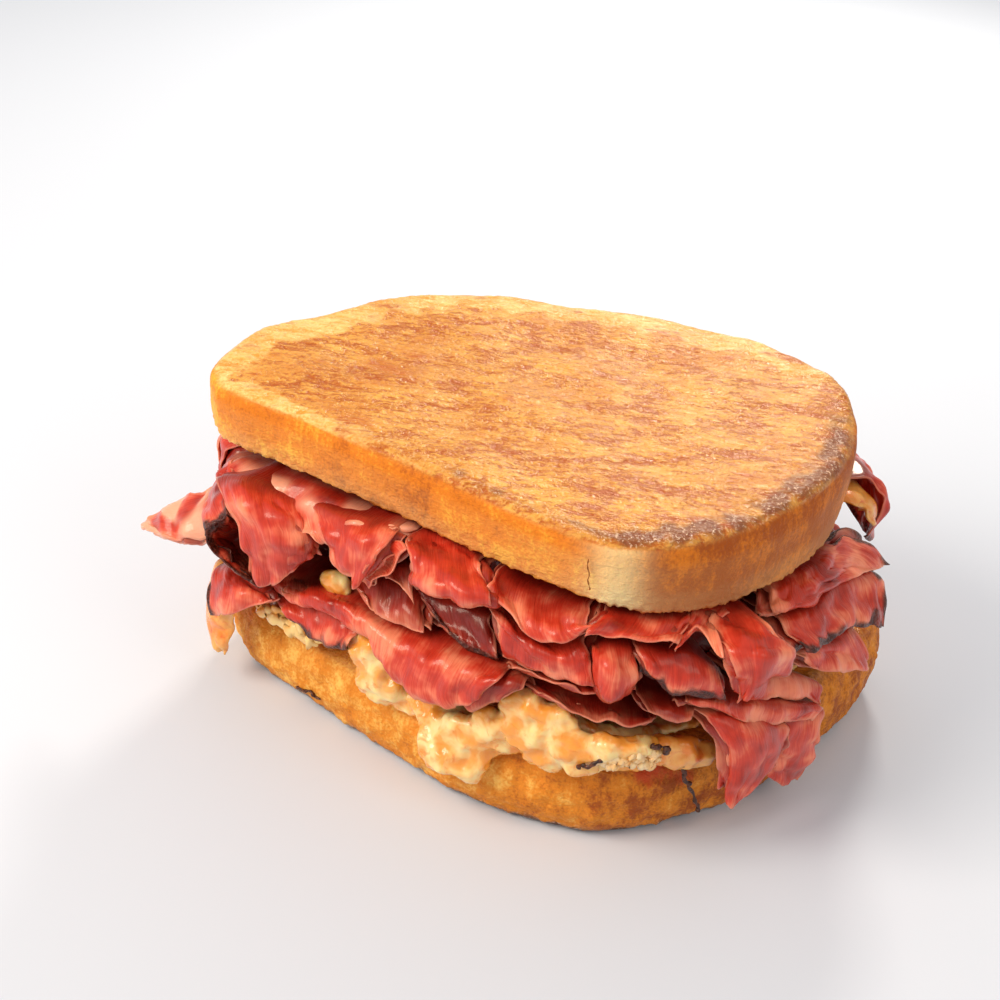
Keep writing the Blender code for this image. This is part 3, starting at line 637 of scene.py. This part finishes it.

# %% Places of the sheets
# a solid's name, the look of the slice, and rows of (along, out, height) from the bread outwards
# SHADED slices, and those with a large shade, are darkened with painted shade far past the bread
FREE, SHADED = {"rind": ("free",)}, {"shade": 16}
SHEETS = [
    # on this tip the pale fat colour is laid on thick, as painted light shining through the thin
    # tip
    ("meat_tip_left", dict(fat=1.8, thick=1.6), [
        [(-64, 6, 50), (-60, 7, 47), (-56, 6, 42)], [(-66, 13, 45), (-62, 14, 42), (-58.5, 13, 38)],
        [(-67, 20, 39), (-64.5, 20.5, 37.5), (-62.5, 20, 35.5)],
        [(-67.5, 26, 33), (-67, 26.5, 32.5), (-66.5, 26, 32)]]),
    ("meat_tip_left", {}, [
        [(-89, -1, 64), (-80, 0, 64.5), (-72, 1, 63), (-64, 1, 61)],
        [(-87, 4, 62), (-78, 5.5, 62), (-71, 5.5, 60), (-65, 5, 57)],
        [(-86, 5, 54), (-78, 6.5, 50.5), (-71, 6, 50), (-66, 4.5, 49)]]),
    ("meat_tip_left", FREE, [
        [(-88, 0, 47.5), (-79, 1, 48), (-71, 2, 45), (-63, 2, 42)],
        [(-87, 4.5, 45), (-78, 6, 44), (-70, 6, 41), (-62, 5, 38)],
        [(-85, 4.5, 37), (-77, 6, 34), (-70, 6, 33), (-63, 4, 31)]]),
    ("meat_fold_left", {}, [
        [(-52.5, 8, 60.5), (-44.5, 7, 64.5), (-36, 6, 63), (-29.5, 5, 62.5)],
        [(-46, 12, 59), (-39.5, 12.5, 63), (-31, 10, 61.5), (-26.5, 7, 58.5)],
        [(-41.5, 12.5, 52), (-35.5, 13, 55.5), (-28, 11.5, 57.5), (-25.5, 7, 54.5)],
        [(-40, 10, 40), (-35.5, 10.5, 41), (-29, 9.5, 47), (-25.5, 6, 52)]]),
    ("meat_rim_left", FREE, [
        [(-47.5, 7, 52), (-51.5, 6, 44.5), (-49.5, 6, 41), (-45.5, 6, 38.5), (-41.5, 7, 37.5)],
        [(-45.5, 12, 57), (-49.5, 13.5, 50), (-47, 13, 46.5), (-43, 12, 43), (-40, 10, 39.5)],
        [(-45, 13, 58), (-49.5, 15, 51), (-47, 14.5, 47), (-43, 13, 43), (-39, 11, 39.5)]]),
    ("meat_rim_left", FREE, [
        [(-56, 1, 62), (-60.5, 2, 59), (-60.5, 3, 54)],
        [(-48.5, 8, 62), (-51.5, 9, 57.5), (-54, 10, 52.5)],
        [(-45, 12.5, 58), (-47.5, 14, 54), (-49.5, 15, 51)]]),
    ("meat_under_left", dict(fat=0.9), [
        [(-55, 2, 63), (-42, 2, 64.5), (-32, 2, 65.5), (-20.5, 2, 65.5), (-9, 2, 66.5), (0, 0, 67)],
        [(-57, 6, 58), (-44.5, 6, 62.5), (-33, 6, 61.5), (-23, 6, 63), (-13, 6, 65.5),
         (-3, 2.5, 67)],
        [(-53, 8, 59.5), (-37.5, 8, 62.5), (-26.5, 9, 59.5), (-18, 8.5, 58), (-12, 7, 65),
         (-3, 4, 67)]]),
    ("meat_flap_left", {}, [
        [(-27.5, 5, 64), (-16.5, 5.5, 65.5), (-8.5, 4.5, 67), (-3, 2.5, 67)],
        [(-21, 8, 61.5), (-14, 9, 63.5), (-6.5, 9.5, 66), (-2, 5, 67)],
        [(-19, 8.5, 56.5), (-13, 10, 59.5), (-6.5, 10.5, 61), (-2, 9.5, 65)],
        [(-14.5, 8.5, 54), (-10.5, 10, 53.5), (-7.5, 11, 53.5), (-5, 10.5, 60)]]),
    ("meat_flap_left", {}, [
        [(-3, 5, 65.5), (-7, 5, 59.5), (-11, 6, 52)], [(0.5, 6, 67), (-2.5, 7, 60), (-8, 8, 53)],
        [(3, 7.5, 67), (0, 8.5, 60), (-6, 9.5, 53.5)]]),
    ("meat_deep_left", SHADED, [
        [(-7, 3, 55), (-2, 3, 58), (2, 3, 58.5)], [(-4, 6, 55.5), (1.5, 6.5, 56), (5.5, 7, 53)]]),
    ("meat_deep_left", SHADED, [
        [(-17, 2, 46), (-8.5, 2, 50.5), (-1, 2, 51.5), (5, 2, 48.5)],
        [(-10, 6, 47), (-5, 7, 45), (2, 7, 45.5), (8, 6, 46)]]),
    ("meat_deep_left", SHADED, [
        [(-12.5, 0, 47.5), (-6, 0, 50), (1, 0, 48.5), (7, 0, 46)],
        [(-7.5, 3.5, 50), (-2, 4.5, 48), (4, 5, 47), (9, 4.5, 46.5)]]),
    ("meat_deep_front", dict(rind=("free",), shade=30), [
        [(0, 0, 52), (8, -1, 51), (16.5, -1, 52), (21.5, -1, 52.5)],
        [(4.5, 1.5, 50), (12, 1.5, 47.5), (20, 1.5, 47.5), (24.5, 1.5, 48.5)],
        [(9.5, 3, 48.5), (15.5, 3.5, 46), (21.5, 3.5, 45), (27, 3, 45.5)]]),
    ("meat_flap_front", {}, [
        [(0.5, 5, 67), (3.5, -1, 67), (11, -1, 67), (18.5, 1, 67)],
        [(5.5, 9, 66.5), (9.5, 5.5, 67), (16, 5, 67), (22.5, 5, 67)],
        [(6.5, 9.5, 62.5), (14.5, 11.5, 65.5), (21, 11.5, 66.5), (26, 8.5, 65.5)],
        [(7, 8, 60), (14, 9.5, 60), (20.5, 9.5, 61), (26, 7.5, 62.5)]]),
    ("meat_flap_middle", dict(shade=7), [
        [(22.5, 0.5, 67), (28, 0, 64.5), (37, 0, 63.5), (45, 1, 65.5)],
        [(23.5, 4.5, 67), (30.5, 6, 62.5), (39.5, 6, 62), (45, 5, 64.5)],
        [(24, 7.5, 67), (33.5, 8.5, 60.5), (41.5, 8.5, 60.5), (47.5, 4.5, 65.5)]]),
    ("meat_flap_middle", {}, [
        [(23.5, 4, 60.5), (31, 4, 57), (39, 4, 57), (45.5, 3, 59.5)],
        [(26.5, 7, 59), (35, 7.5, 56), (41.5, 7.5, 56), (47, 6, 56.5)],
        [(28, 5, 48.5), (35, 6, 49), (42.5, 6.5, 50), (48.5, 6.5, 50.5)]]),
    ("meat_roll_front", {}, [
        [(46, 1, 57), (50, 5, 60), (54.5, 1.5, 59)],
        [(47, 5, 57.5), (51, 10.5, 58), (55, 5.5, 57)],
        [(47.5, 5, 52), (51, 10.5, 51.5), (55.5, 5, 51.5)],
        [(48, 1, 46), (51.5, 5, 45.5), (55, 1, 47)]]),
    ("meat_edge_right", {}, [
        [(47.5, 1, 65.5), (53.5, -1.5, 64.5), (60.5, -1.5, 63.5), (69.5, -3, 62.5)],
        [(46.5, 5, 65.5), (51.5, 4, 64.5), (57.5, 4, 63), (66.5, 0.5, 62.5)],
        [(45, 8, 63), (50, 6.5, 64.5), (56, 6.5, 63), (61.5, 7.5, 62)]]),
    ("meat_edge_right", {}, [
        [(67.5, -3.5, 63), (73.5, -3.5, 62.5), (77.5, -1, 62)],
        [(64, 3, 62.5), (69.5, 0, 62), (72, 2, 62)],
        [(60.5, 9, 62), (66.5, 3, 62), (69, 11.5, 62)]]),
    ("meat_loop_right", {}, [
        [(73, -3, 62.5), (77, -2, 62), (80, 1, 62), (82, 4, 62)],
        [(71, 0.5, 62), (75.5, 3.5, 62), (78.5, 7.5, 62), (81.5, 11, 61.5)],
        [(70, 9, 62), (73, 12.5, 62), (76, 14, 62), (84, 13, 58.5)],
        [(71.5, 12.5, 56.5), (74.5, 13, 56), (76, 14, 55.5), (84, 11, 51.5)],
        [(75, 9.5, 47), (75.5, 10, 46.5), (76, 10, 46.5), (78, 9, 45.5)]]),
    ("meat_peppered", FREE, [
        [(54, 4, 60), (60, 5, 58.5), (65.5, 6, 57.5), (71, 8, 53.5)],
        [(56, 7, 58), (60.5, 7.5, 55.5), (65.5, 8.5, 54), (71.5, 9, 50.5)],
        [(57, 7, 55), (60.5, 8, 51), (65, 8.5, 49.5), (73, 9, 46.5)]]),
    ("meat_roll_front", SHADED, [
        [(26.5, 1, 44), (36, 1, 46.5), (44.5, 1, 47), (50, 1, 47)],
        [(30.5, 5, 47), (40.5, 6.5, 49), (46.5, 6.5, 48.5), (50.5, 6, 48)]]),
    ("meat_deep_front", dict(shade=30), [
        [(30.5, 1, 41), (43.5, 0, 40.5), (53, 0, 40), (60.5, 0, 38.5)],
        [(37.5, 5, 43.5), (46, 5.5, 41.5), (53, 5.5, 40.5), (59.5, 5.5, 40.5)]]),
    ("meat_peppered", SHADED, [
        [(56.5, 3, 46), (62, 3, 45), (69, 3, 42.5)],
        [(58, 7, 45.5), (62, 8, 42.5), (66.5, 8, 42)]]),
    ("meat_strip_right", {}, [
        [(66, 4, 46), (73.5, 5, 44.5), (85, 6, 39), (100.5, 10.5, 32)],
        [(65, 7, 47.5), (71.5, 8.5, 45.5), (83, 8, 38.5), (101.5, 11, 30.5)],
        [(66.5, 7.5, 46), (73, 9, 43), (82.5, 9.5, 36), (99, 10, 29)]]),
    ("meat_strip_right", {}, [
        [(83.5, 3, 43), (92.5, 4.5, 42), (102, 9, 36)],
        [(83, 5.5, 40), (92, 7, 37), (100.5, 11, 33)]]),
    ("meat_hang_right", {}, [
        [(68, 5, 42), (74, 7, 41.5), (81, 8, 37.5), (91.5, 8, 31)],
        [(71, 9, 39.5), (74.5, 11, 38.5), (80.5, 12, 35), (89.5, 10.5, 29)],
        [(74, 10, 31.5), (76.5, 12, 30.5), (81.5, 12, 28), (88, 10, 23.5)],
        [(76, 9.5, 18), (77, 10, 16), (78.5, 10, 15.5), (81, 9.5, 18.5)]]),
    ("meat_hang_far", {}, [
        [(92.5, 7, 31), (98.5, 8, 30), (103, 10.5, 29)],
        [(92, 8, 26), (97, 9.5, 24), (101.5, 11, 23)],
        [(92.5, 6.5, 18), (98, 8, 15), (104, 10, 14)],
        [(93.5, 4.5, 12), (100.5, 5.5, 6), (104.5, 7, 5)]]),
    ("meat_tongue_upper", dict(rind=("right",)), [
        [(92, -4.5, 61), (101.5, -2.5, 61), (110, -1, 61), (120, -1, 61)],
        [(90, -1.5, 60.5), (97.5, 1, 60.5), (109.5, 2, 60), (130, 1, 59)],
        [(88.5, 0.5, 60), (97, 3, 59), (116, 3, 57), (133.5, 6.5, 55)],
        [(88.5, 2, 59), (103, 2.5, 57), (121, 6, 54), (134.5, 13, 50)]]),
    ("meat_tongue_lower", dict(rind=("free", "right")), [
        [(91, 0.5, 56), (103, 2, 55), (116.5, 3, 54), (130, 9.5, 50)],
        [(91, 4.5, 55), (100, 5.5, 54), (115, 6, 51), (130.5, 12, 47)],
        [(92, 7, 53), (101, 7.5, 51), (114, 9, 48), (127, 13.5, 43)],
        [(93, 8, 50), (102, 9, 48.5), (113, 9.5, 46), (124.5, 14.5, 39.5)]]),
    ("meat_tongue_low", {}, [
        [(96.5, 4, 46), (107, 5.5, 44), (118, 7.5, 43)],
        [(98, 5.5, 44), (108, 7.5, 41), (119.5, 13, 35)],
        [(100, 6.5, 41.5), (108, 10.5, 36.5), (119.5, 14, 31)]]),
    ("meat_pocket_left", dict(rind=("left",)), [
        [(-59.5, 6, 29), (-54.5, 4, 32), (-47, 4, 32.5), (-41, 4, 33.5)],
        [(-54.5, 9.5, 27), (-48, 9, 33), (-43.5, 8, 33.5), (-39, 6, 34)],
        [(-53, 10, 21.5), (-48, 10.5, 25.5), (-43, 9.5, 30.5), (-37, 7.5, 34.5)]]),
    ("meat_low_left", FREE, [
        [(-40, 3, 31.5), (-31, 3, 35), (-20.5, 4, 37.5), (-11.5, 4, 36.5)],
        [(-35.5, 6, 32), (-27, 6.5, 33), (-18.5, 7, 34.5), (-11.5, 7, 35.5)],
        [(-32.5, 6.5, 30.5), (-25.5, 7, 29.5), (-19.5, 7.5, 29), (-13, 7.5, 31.5)]]),
    ("meat_long_front", {}, [
        [(-38.5, 3, 36), (-23, 3, 41.5), (-7.5, 3, 42), (4.5, 3, 43), (17.5, 3, 44),
         (29, 3, 44.5)],
        [(-36, 6, 37), (-20, 7, 42), (-7, 7.5, 42), (5.5, 8.5, 40), (18, 9, 42.5), (29.5, 8, 45)],
        [(-35, 6.5, 36.5), (-19, 7.5, 40), (-6, 8.5, 39), (5, 10, 35.5), (17, 10, 36.5),
         (27, 9, 42)],
        [(-33, 6, 36), (-17, 7, 38.5), (-5, 8, 36.5), (6, 9.5, 30.5), (19, 9.5, 32.5),
         (25.5, 9, 39)]]),
]

# %% Lay the sheets
# under each slice lies a second one, darkened with painted shade, which shows in the gaps between
# the first ones
INWARD, DOWNWARD, WIDER = 1.9, 0.9, 1.14

laid_out = {}
for seed, (node, look, rows) in enumerate(SHEETS):
    leaves = [leaf(*through(rows), 100 * seed, **look)]
    under = np.array(rows, float) - (0, INWARD, DOWNWARD)
    middle = under[:, :, 0].mean(1, keepdims=True)
    under[:, :, 0] = middle + WIDER * (under[:, :, 0] - middle)
    under[-1] = 0.7 * under[-1] + 0.3 * under[-2]
    leaves.append(leaf(*through(under), 100 * seed + 50, **dict(look, frill=0.6, shade=30.0)))
    laid_out.setdefault(node, []).extend(leaves)
faces = 0
for node, leaves in laid_out.items():
    piece = join(leaves, node.replace("meat", "beef"))
    hand_over(piece, beef, "corned_beef", node)
    faces += len(piece.data.polygons)
print("sheets:", 2 * len(SHEETS), "with", faces, "faces")

# %% [markdown]
# ## The back of the pile
# The photograph doesn't show the back, so nothing is made up there beyond more of the same
# folds. Each solid there gets four or five slices. Their rows of points follow one plain rule with
# seeded random numbers: out from under the bread, over, and down or in again.

# %% Folds at the back
# for each solid: its first place along the outline, its height at the top, its reach, and the
# numbers of its first slice and of the one after its last
BACK = [(155.5, 65.5, 7.4, 0, 4), (194.5, 65.5, 6.6, 0, 4), (233.5, 65.5, 6.3, 0, 4),
        (272.5, 65.5, 8.0, 0, 5), (155.5, 48.5, 5.6, -1, 4), (194.5, 48.5, 6.6, 0, 4),
        (233.5, 48.5, 8.0, 0, 4), (272.5, 48.5, 5.9, 0, 5)]
rng = np.random.default_rng(11)
for k, (start, top, far, head, tail) in enumerate(BACK):
    leaves = []
    for part in range(head, tail):
        first, wide_ = start - 4 + 10.5 * part + rng.uniform(-3, 3), rng.uniform(16, 28)
        across = first + wide_ * np.linspace(0, 1, 5)
        sag, lean = rng.uniform(-3.5, 3.5, 5), rng.uniform(-5, 5)
        reach = far + rng.uniform(-3.0, 2.5)
        drop, start_z = rng.uniform(8, 21), top - rng.uniform(0, 5) * (1 + (k > 3))
        rows = []
        for down, out in ((0.06, -3.0), (0.28, 0.8), (0.62, 2.0), (1.0, -1.5)):
            outs = reach + out + rng.uniform(-2.0, 2.0, 5)
            rows.append(list(zip(across + lean * down, outs, start_z - drop * down + sag * down)))
        rind = ("free",) if rng.random() < 0.3 else ()
        leaves.append(leaf(*through(rows), 5020 + 100 * k + 20 * part, frill=0.6, rind=rind))
    piece = join(leaves, f"beef_back_{k // 4}_{k % 4}")
    hand_over(piece, beef, "corned_beef", f"meat_back_{k // 4}_{k % 4}")
print("folds at the back:", sum(row[4] - row[3] for row in BACK))

# %% Inside of the pile
core = copy_of("meat_core", "beef_inside")
apply(core, "REMESH", mode="VOXEL", voxel_size=0.0012)
apply(core, "SMOOTH", factor=0.5, iterations=6)
spots, normals = points_of(core)
layered = ripple(spots * (0.25, 0.25, 1.0), 4.0, 61, 40) + 0.5 * ripple(spots, 9, 62)
sideways = 1 - smooth_step(np.abs(normals[:, 2]), 0.4, 0.8)
move_points(core, spots + normals * (0.9 * layered * sideways)[:, None])
bpy.ops.object.select_all(action="DESELECT")
core.data.uv_layers.new(name="UVMap")
none = 0 * spots[:, 0]
keep_numbers(core, crust=none, fat=none, root=none, edge=9 + none)
# the inside of the pile gets the meat in painted shade
hand_over(core, beef_painted_shade, "meat_shadow", "meat_core")
print("inside of the pile:", len(core.data.polygons), "faces")

# %% [markdown]
# ## Melted cheese and sauerkraut
# The cheese melted over the kraut and sagged over the bread's edge, so it is smooth, glossy and
# slightly see-through, cream where it is thick and amber where it is thin or stained by the
# dressing. The layer starts from its solid. Lumps of kraut under the skin are added as spheres,
# pulled out of shape, and a voxel remesh melts everything into one skin.

# %% Cheese material
def melted_cheese(name, low, high, stain, clear=0.45):
    """Glossy, slightly see-through cheese in two tones, with stains of dressing."""
    made, t, shader, spot = finish(name, IOR=1.45, Subsurface_Weight=clear, Subsurface_Scale=0.003,
                                   Coat_Weight=0.5, Coat_Roughness=0.07)
    shader.inputs["Subsurface Radius"].default_value = (1.0, 0.55, 0.22)
    cloud, lumps, run = (
        add(t, "TexNoise", {"Vector": spot, "Scale": 1 / size, "Detail": detail,
                            "Distortion": twist})
        for size, detail, twist in ((6.5, 3, 0.4), (1.7, 3, 0.0), (4.0, 4, 1.5)))
    tint = low
    for value, least, full, most, over in ((cloud, 0.38, 0.62, 1.0, high),
                                           (run, 0.56, 0.72, 0.75, stain)):
        part = add(t, "MapRange", {0: value, 1: least, 2: full, 4: most}, **SOFT)
        tint = add(t, "Mix", {0: part, 6: tint, 7: over}, 2, **TINT)
    t.links.new(tint, shader.inputs["Base Color"])
    wet = add(t, "MapRange", {0: cloud, 1: 0.3, 2: 0.7, 3: 0.20, 4: 0.38})
    t.links.new(wet, shader.inputs["Roughness"])
    relief = add(t, "Math", {0: run, 1: 0.6, 2: lumps}, **SUM)
    t.links.new(add(t, "Bump", {"Strength": 0.35, "Distance": 0.0006, "Height": relief}),
                shader.inputs["Normal"])
    return made


cheese = melted_cheese("melted_swiss_cheese", "#F9A544", "#FFDF9C", "#EC8C30")
dressing = melted_cheese("orange_dressing", "#EE8A30", "#F9B45C", "#D9622A", 0.3)

# %% Cheese and kraut
# lumps under the skin: along, out and height of the middle, and half of each size
LUMPS = [
    (-9, 4.4, 31, 6.5, 3.4, 5.5), (-5.5, 4.6, 25, 7, 3.8, 5.8), (7.5, 2.8, 23.5, 5, 2, 4.4),
    (12.5, 4.4, 21, 6, 3, 4), (19.5, 4.8, 22.5, 6.8, 3.4, 5.6), (18, 3.8, 18.6, 4, 2.2, 3),
    (25, 4, 28, 5, 3, 4.2), (33, 2.4, 36, 6.5, 3.4, 4.6), (34, 3.2, 30.5, 7.5, 3.4, 5),
    (40, 2, 35.5, 6, 3, 4.2), (39, 3.2, 26, 5.5, 2.6, 4.2), (45, 3.2, 30.5, 7, 3.4, 4.4),
    (53, 3.2, 31.5, 7.5, 3.2, 3.6), (47, 3.6, 26.6, 4.6, 2.4, 3), (59, 2.6, 31.5, 5, 2.8, 3),
    (28, 2.6, 24, 5, 2.4, 4.2)]
SMEAR = [
    (64, 1.6, 29.5, 5, 2.6, 3.6), (69, 1.4, 27.5, 5.5, 2.6, 4.6), (74, 1.2, 25.5, 5, 2.4, 3.6)]


def lump_of(along, out, height, wide, deep, tall):
    """One lump: a sphere at its place, turned with the outline and pulled out of round."""
    x, y, z = place(np.array([along]), np.array([out]), np.array([height]))[0]
    nearby = place(np.array([along - 1.0, along + 1.0]), np.zeros(2), np.zeros(2))
    turn = math.atan2(nearby[1, 1] - nearby[0, 1], nearby[1, 0] - nearby[0, 0])
    bpy.ops.object.select_all(action="DESELECT")
    bpy.ops.mesh.primitive_ico_sphere_add(subdivisions=4, radius=1.0)
    made = bpy.context.object
    made.data.transform(Matrix.Translation((x * MM, y * MM, z * MM)) @ Matrix.Rotation(turn, 4, "Z")
                        @ Matrix.Diagonal((wide * MM, deep * MM, tall * MM, 1)))
    return made


def melt(parts, name, seed):
    """Melt parts into one skin and give it soft waves."""
    made = join(parts, name)
    apply(made, "REMESH", mode="VOXEL", voxel_size=0.0007)
    apply(made, "SMOOTH", factor=0.5, iterations=8)
    spots, normals = points_of(made)
    outside = smooth_step(np.abs(normals[:, 2]) * (np.abs(spots[:, 1] + 51) > 12), 0.9, 0.5)
    lift = 0.34 * ripple(spots, 5, seed) + 0.09 * ripple(spots, 2.2, seed + 1, 40)
    move_points(made, spots + normals * (lift * outside)[:, None])
    return made


layer = melt([copy_of("cheese_and_kraut", "layer")] + [lump_of(*row) for row in LUMPS],
             "melted_cheese_layer", 71)
hand_over(layer, cheese, "melted_cheese", "cheese_and_kraut")
smear = melt([lump_of(*row) for row in SMEAR], "dressing_smear", 75)
hand_over(smear, dressing, "sauce")
print("cheese:", len(layer.data.polygons), "faces")


def blob(node, name, finish_, slot, seed, lumpy):
    """A small bit that lies apart, melted from a copy of its solid."""
    made = copy_of(node, name)
    apply(made, "SUBSURF", levels=3, render_levels=3)
    spots, normals = points_of(made)
    move_points(made, spots + normals * (lumpy * ripple(spots, 3.2, seed))[:, None])
    hand_over(made, finish_, slot, node)
    return made


blob("cheese_in_fold", "cheese_in_fold_soft", cheese, "melted_cheese", 81, 0.12)

# %% Sheets of cheese at the left and the far right
DRIPS = [("dressing_drip_left", "sauce_drip_left",
          [[(-63, 5.0, 29.0), (-57, 6.5, 28.5), (-50, 4.5, 28.0)],
           [(-62, 6.5, 23.0), (-56.5, 8.0, 22.0), (-50, 5.5, 21.5)],
           [(-59, 7.5, 15.5), (-55, 8.5, 15.0), (-51, 6.5, 14.5)],
           [(-55, 7.5, 9.5), (-53.5, 8.0, 9.0), (-52, 7.0, 9.0)]]),
         ("dressing_far_right", "cheese_far_right",
          [[(142, 0, 60.5), (148, 0, 60.5), (154, 0, 60)],
           [(142, 5, 59), (148, 6, 58.5), (154, 5, 58)],
           [(144, 8, 53), (148, 9, 52), (152, 7.5, 52)]])]
for k, (name, node, rows) in enumerate(DRIPS):
    sheet = leaf(*through(rows), 8300 + 50 * k, frill=0.3, thick=1.8)
    sheet.name = name
    hand_over(sheet, dressing, "sauce", node)

# %% [markdown]
# ## Strands and burnt bits
# Shreds of kraut, a wavy thread of cheese that ran along the bread, and threads that dripped on
# the pan and burnt black. A curve with a bevel could draw them. Here a sphere is stretched along
# a path instead, because it stays closed and rounds off both ends by itself.

# %% Strands
def strand(path, wide, thick, kink, seed):
    """A thin closed strand along a path of (along, out, height), with a random kink in mm."""
    bpy.ops.object.select_all(action="DESELECT")
    bpy.ops.mesh.primitive_uv_sphere_add(segments=10, ring_count=40, radius=1.0)
    made = bpy.context.object
    ball = points_of(made)[0] * MM
    knots = place(*np.moveaxis(np.array(path, float), -1, 0))
    t = (ball[:, 2] + 1) / 2

    def line(t):
        near, share = spline(t, len(knots))
        spots = (share[:, :, None] * knots[near]).sum(1)
        bends = [ripple(t[:, None] * len(knots) * 4, 6.0, seed + k) for k in range(3)]
        return spots + kink * np.stack(bends, 1)

    ahead = line(t + 0.01) - line(t - 0.01)
    ahead /= np.linalg.norm(ahead, axis=1)[:, None] + 1e-9
    outward = place(np.full(2, path[0][0], float), np.array([0.0, 1.0]), np.zeros(2))
    outward = (outward[1] - outward[0]) + 0 * ahead
    outward -= ahead * (outward * ahead).sum(1)[:, None]
    outward /= np.linalg.norm(outward, axis=1)[:, None] + 1e-9
    across = np.cross(outward, ahead)
    girth = 1 + 0.25 * ripple(t[:, None] * len(knots) * 4, 2.5, seed + 9)
    full = np.hypot(ball[:, 0], ball[:, 1]) + 1e-9
    body = np.minimum(1.0, 2.2 * full) * girth / full
    move_points(made, line(t) + (across * (ball[:, 0] * body * wide / 2)[:, None]
                                 + outward * (ball[:, 1] * body * thick / 2)[:, None]))
    return made


burnt, tree, shader, spot = finish("burnt_cheese_thread", Roughness=0.35, IOR=1.5)
specks = add(tree, "TexNoise", {"Vector": spot, "Scale": 1 / 0.8, "Detail": 3})
part = add(tree, "MapRange", {0: specks, 1: 0.4, 2: 0.7})
tree.links.new(add(tree, "Mix", {0: part, 6: "#2A1008", 7: "#6E3518"}, 2, **TINT),
               shader.inputs["Base Color"])
tree.links.new(add(tree, "Bump", {"Strength": 0.8, "Distance": 0.0004, "Height": specks}),
               shader.inputs["Normal"])

wavy = [(-45, 2.0, 25.5), (-42, 3.0, 25.8), (-38, 2.8, 24.6), (-34, 3.4, 24.6),
        (-30, 3.2, 24.0), (-26, 3.8, 24.2)]
threads = [strand(wavy, 3.2, 1.8, 0.5, 8400),
           strand([(a + 1, o - 0.8, z + 1.6) for a, o, z in wavy], 2.6, 1.6, 0.6, 8410)]
rng = np.random.default_rng(85)
shreds = []
for k in range(16):
    a, z = rng.uniform(50, 62), rng.uniform(27.5, 31.5)
    turn, long = rng.uniform(-0.8, 0.8), rng.uniform(1.6, 3.6)
    bent = [(a + long * f * math.cos(turn), 5.2 - 0.12 * abs(a - 54) + 0.4 * math.sin(9 * f),
             z + long * f * math.sin(turn)) for f in (-0.5, -0.2, 0.2, 0.5)]
    shreds.append(strand(bent, rng.uniform(1.4, 2.2), 1.6, 0.2, 8500 + 10 * k))
fried = melted_cheese("fried_cheese_thread", "#FFB254", "#FFD88E", "#F09030", 0.1)
hand_over(join(threads, "wavy_cheese_thread"), fried, "melted_cheese")
kraut = melted_cheese("pale_kraut", "#FFC880", "#FFE8BC", "#F4A850", 0.1)
hand_over(join(shreds, "kraut_shreds"), kraut, "melted_cheese")

# paths, widths and kinks of the burnt threads
BURNT = [([(47, 6.2, 27.5), (49, 6.4, 29.0), (52, 6.2, 31.0)], 1.0, 0.2),
         ([(60, 5.0, 34.0), (62, 5.4, 33.5), (64.5, 4.6, 31.0)], 1.2, 0.25),
         ([(68.5, 3.0, 26), (69.5, 2.6, 22.5), (71.5, 2.6, 17.6)], 1.1, 0.18),
         ([(71, 2.6, 18.5), (74, 2.5, 12.2), (75.5, 2.2, 8.5)], 0.8, 0.15),
         ([(-34.5, 1.5, 5.6), (-31, 1.6, 6.6), (-27, 1.5, 5.8)], 0.7, 0.2)]
parts = [strand(path, wide, 0.9, kink, 8700 + 10 * k) for k, (path, wide, kink) in enumerate(BURNT)]
black = join(parts, "burnt_threads")
hand_over(black, burnt, "melted_cheese")

split, tree, shader, spot = finish("split_crust", Roughness=0.7, Base_Color="#96561C")
crack = strand([(43.9, 3.2, 79.5), (44.3, 3.4, 75.5), (44.9, 3.5, 72.5)], 0.25, 0.4, 0.12, 8800)
crack.name = "crust_split"
hand_over(crack, split, "toast_top")
print("strands:", len(threads) + len(shreds) + len(BURNT))
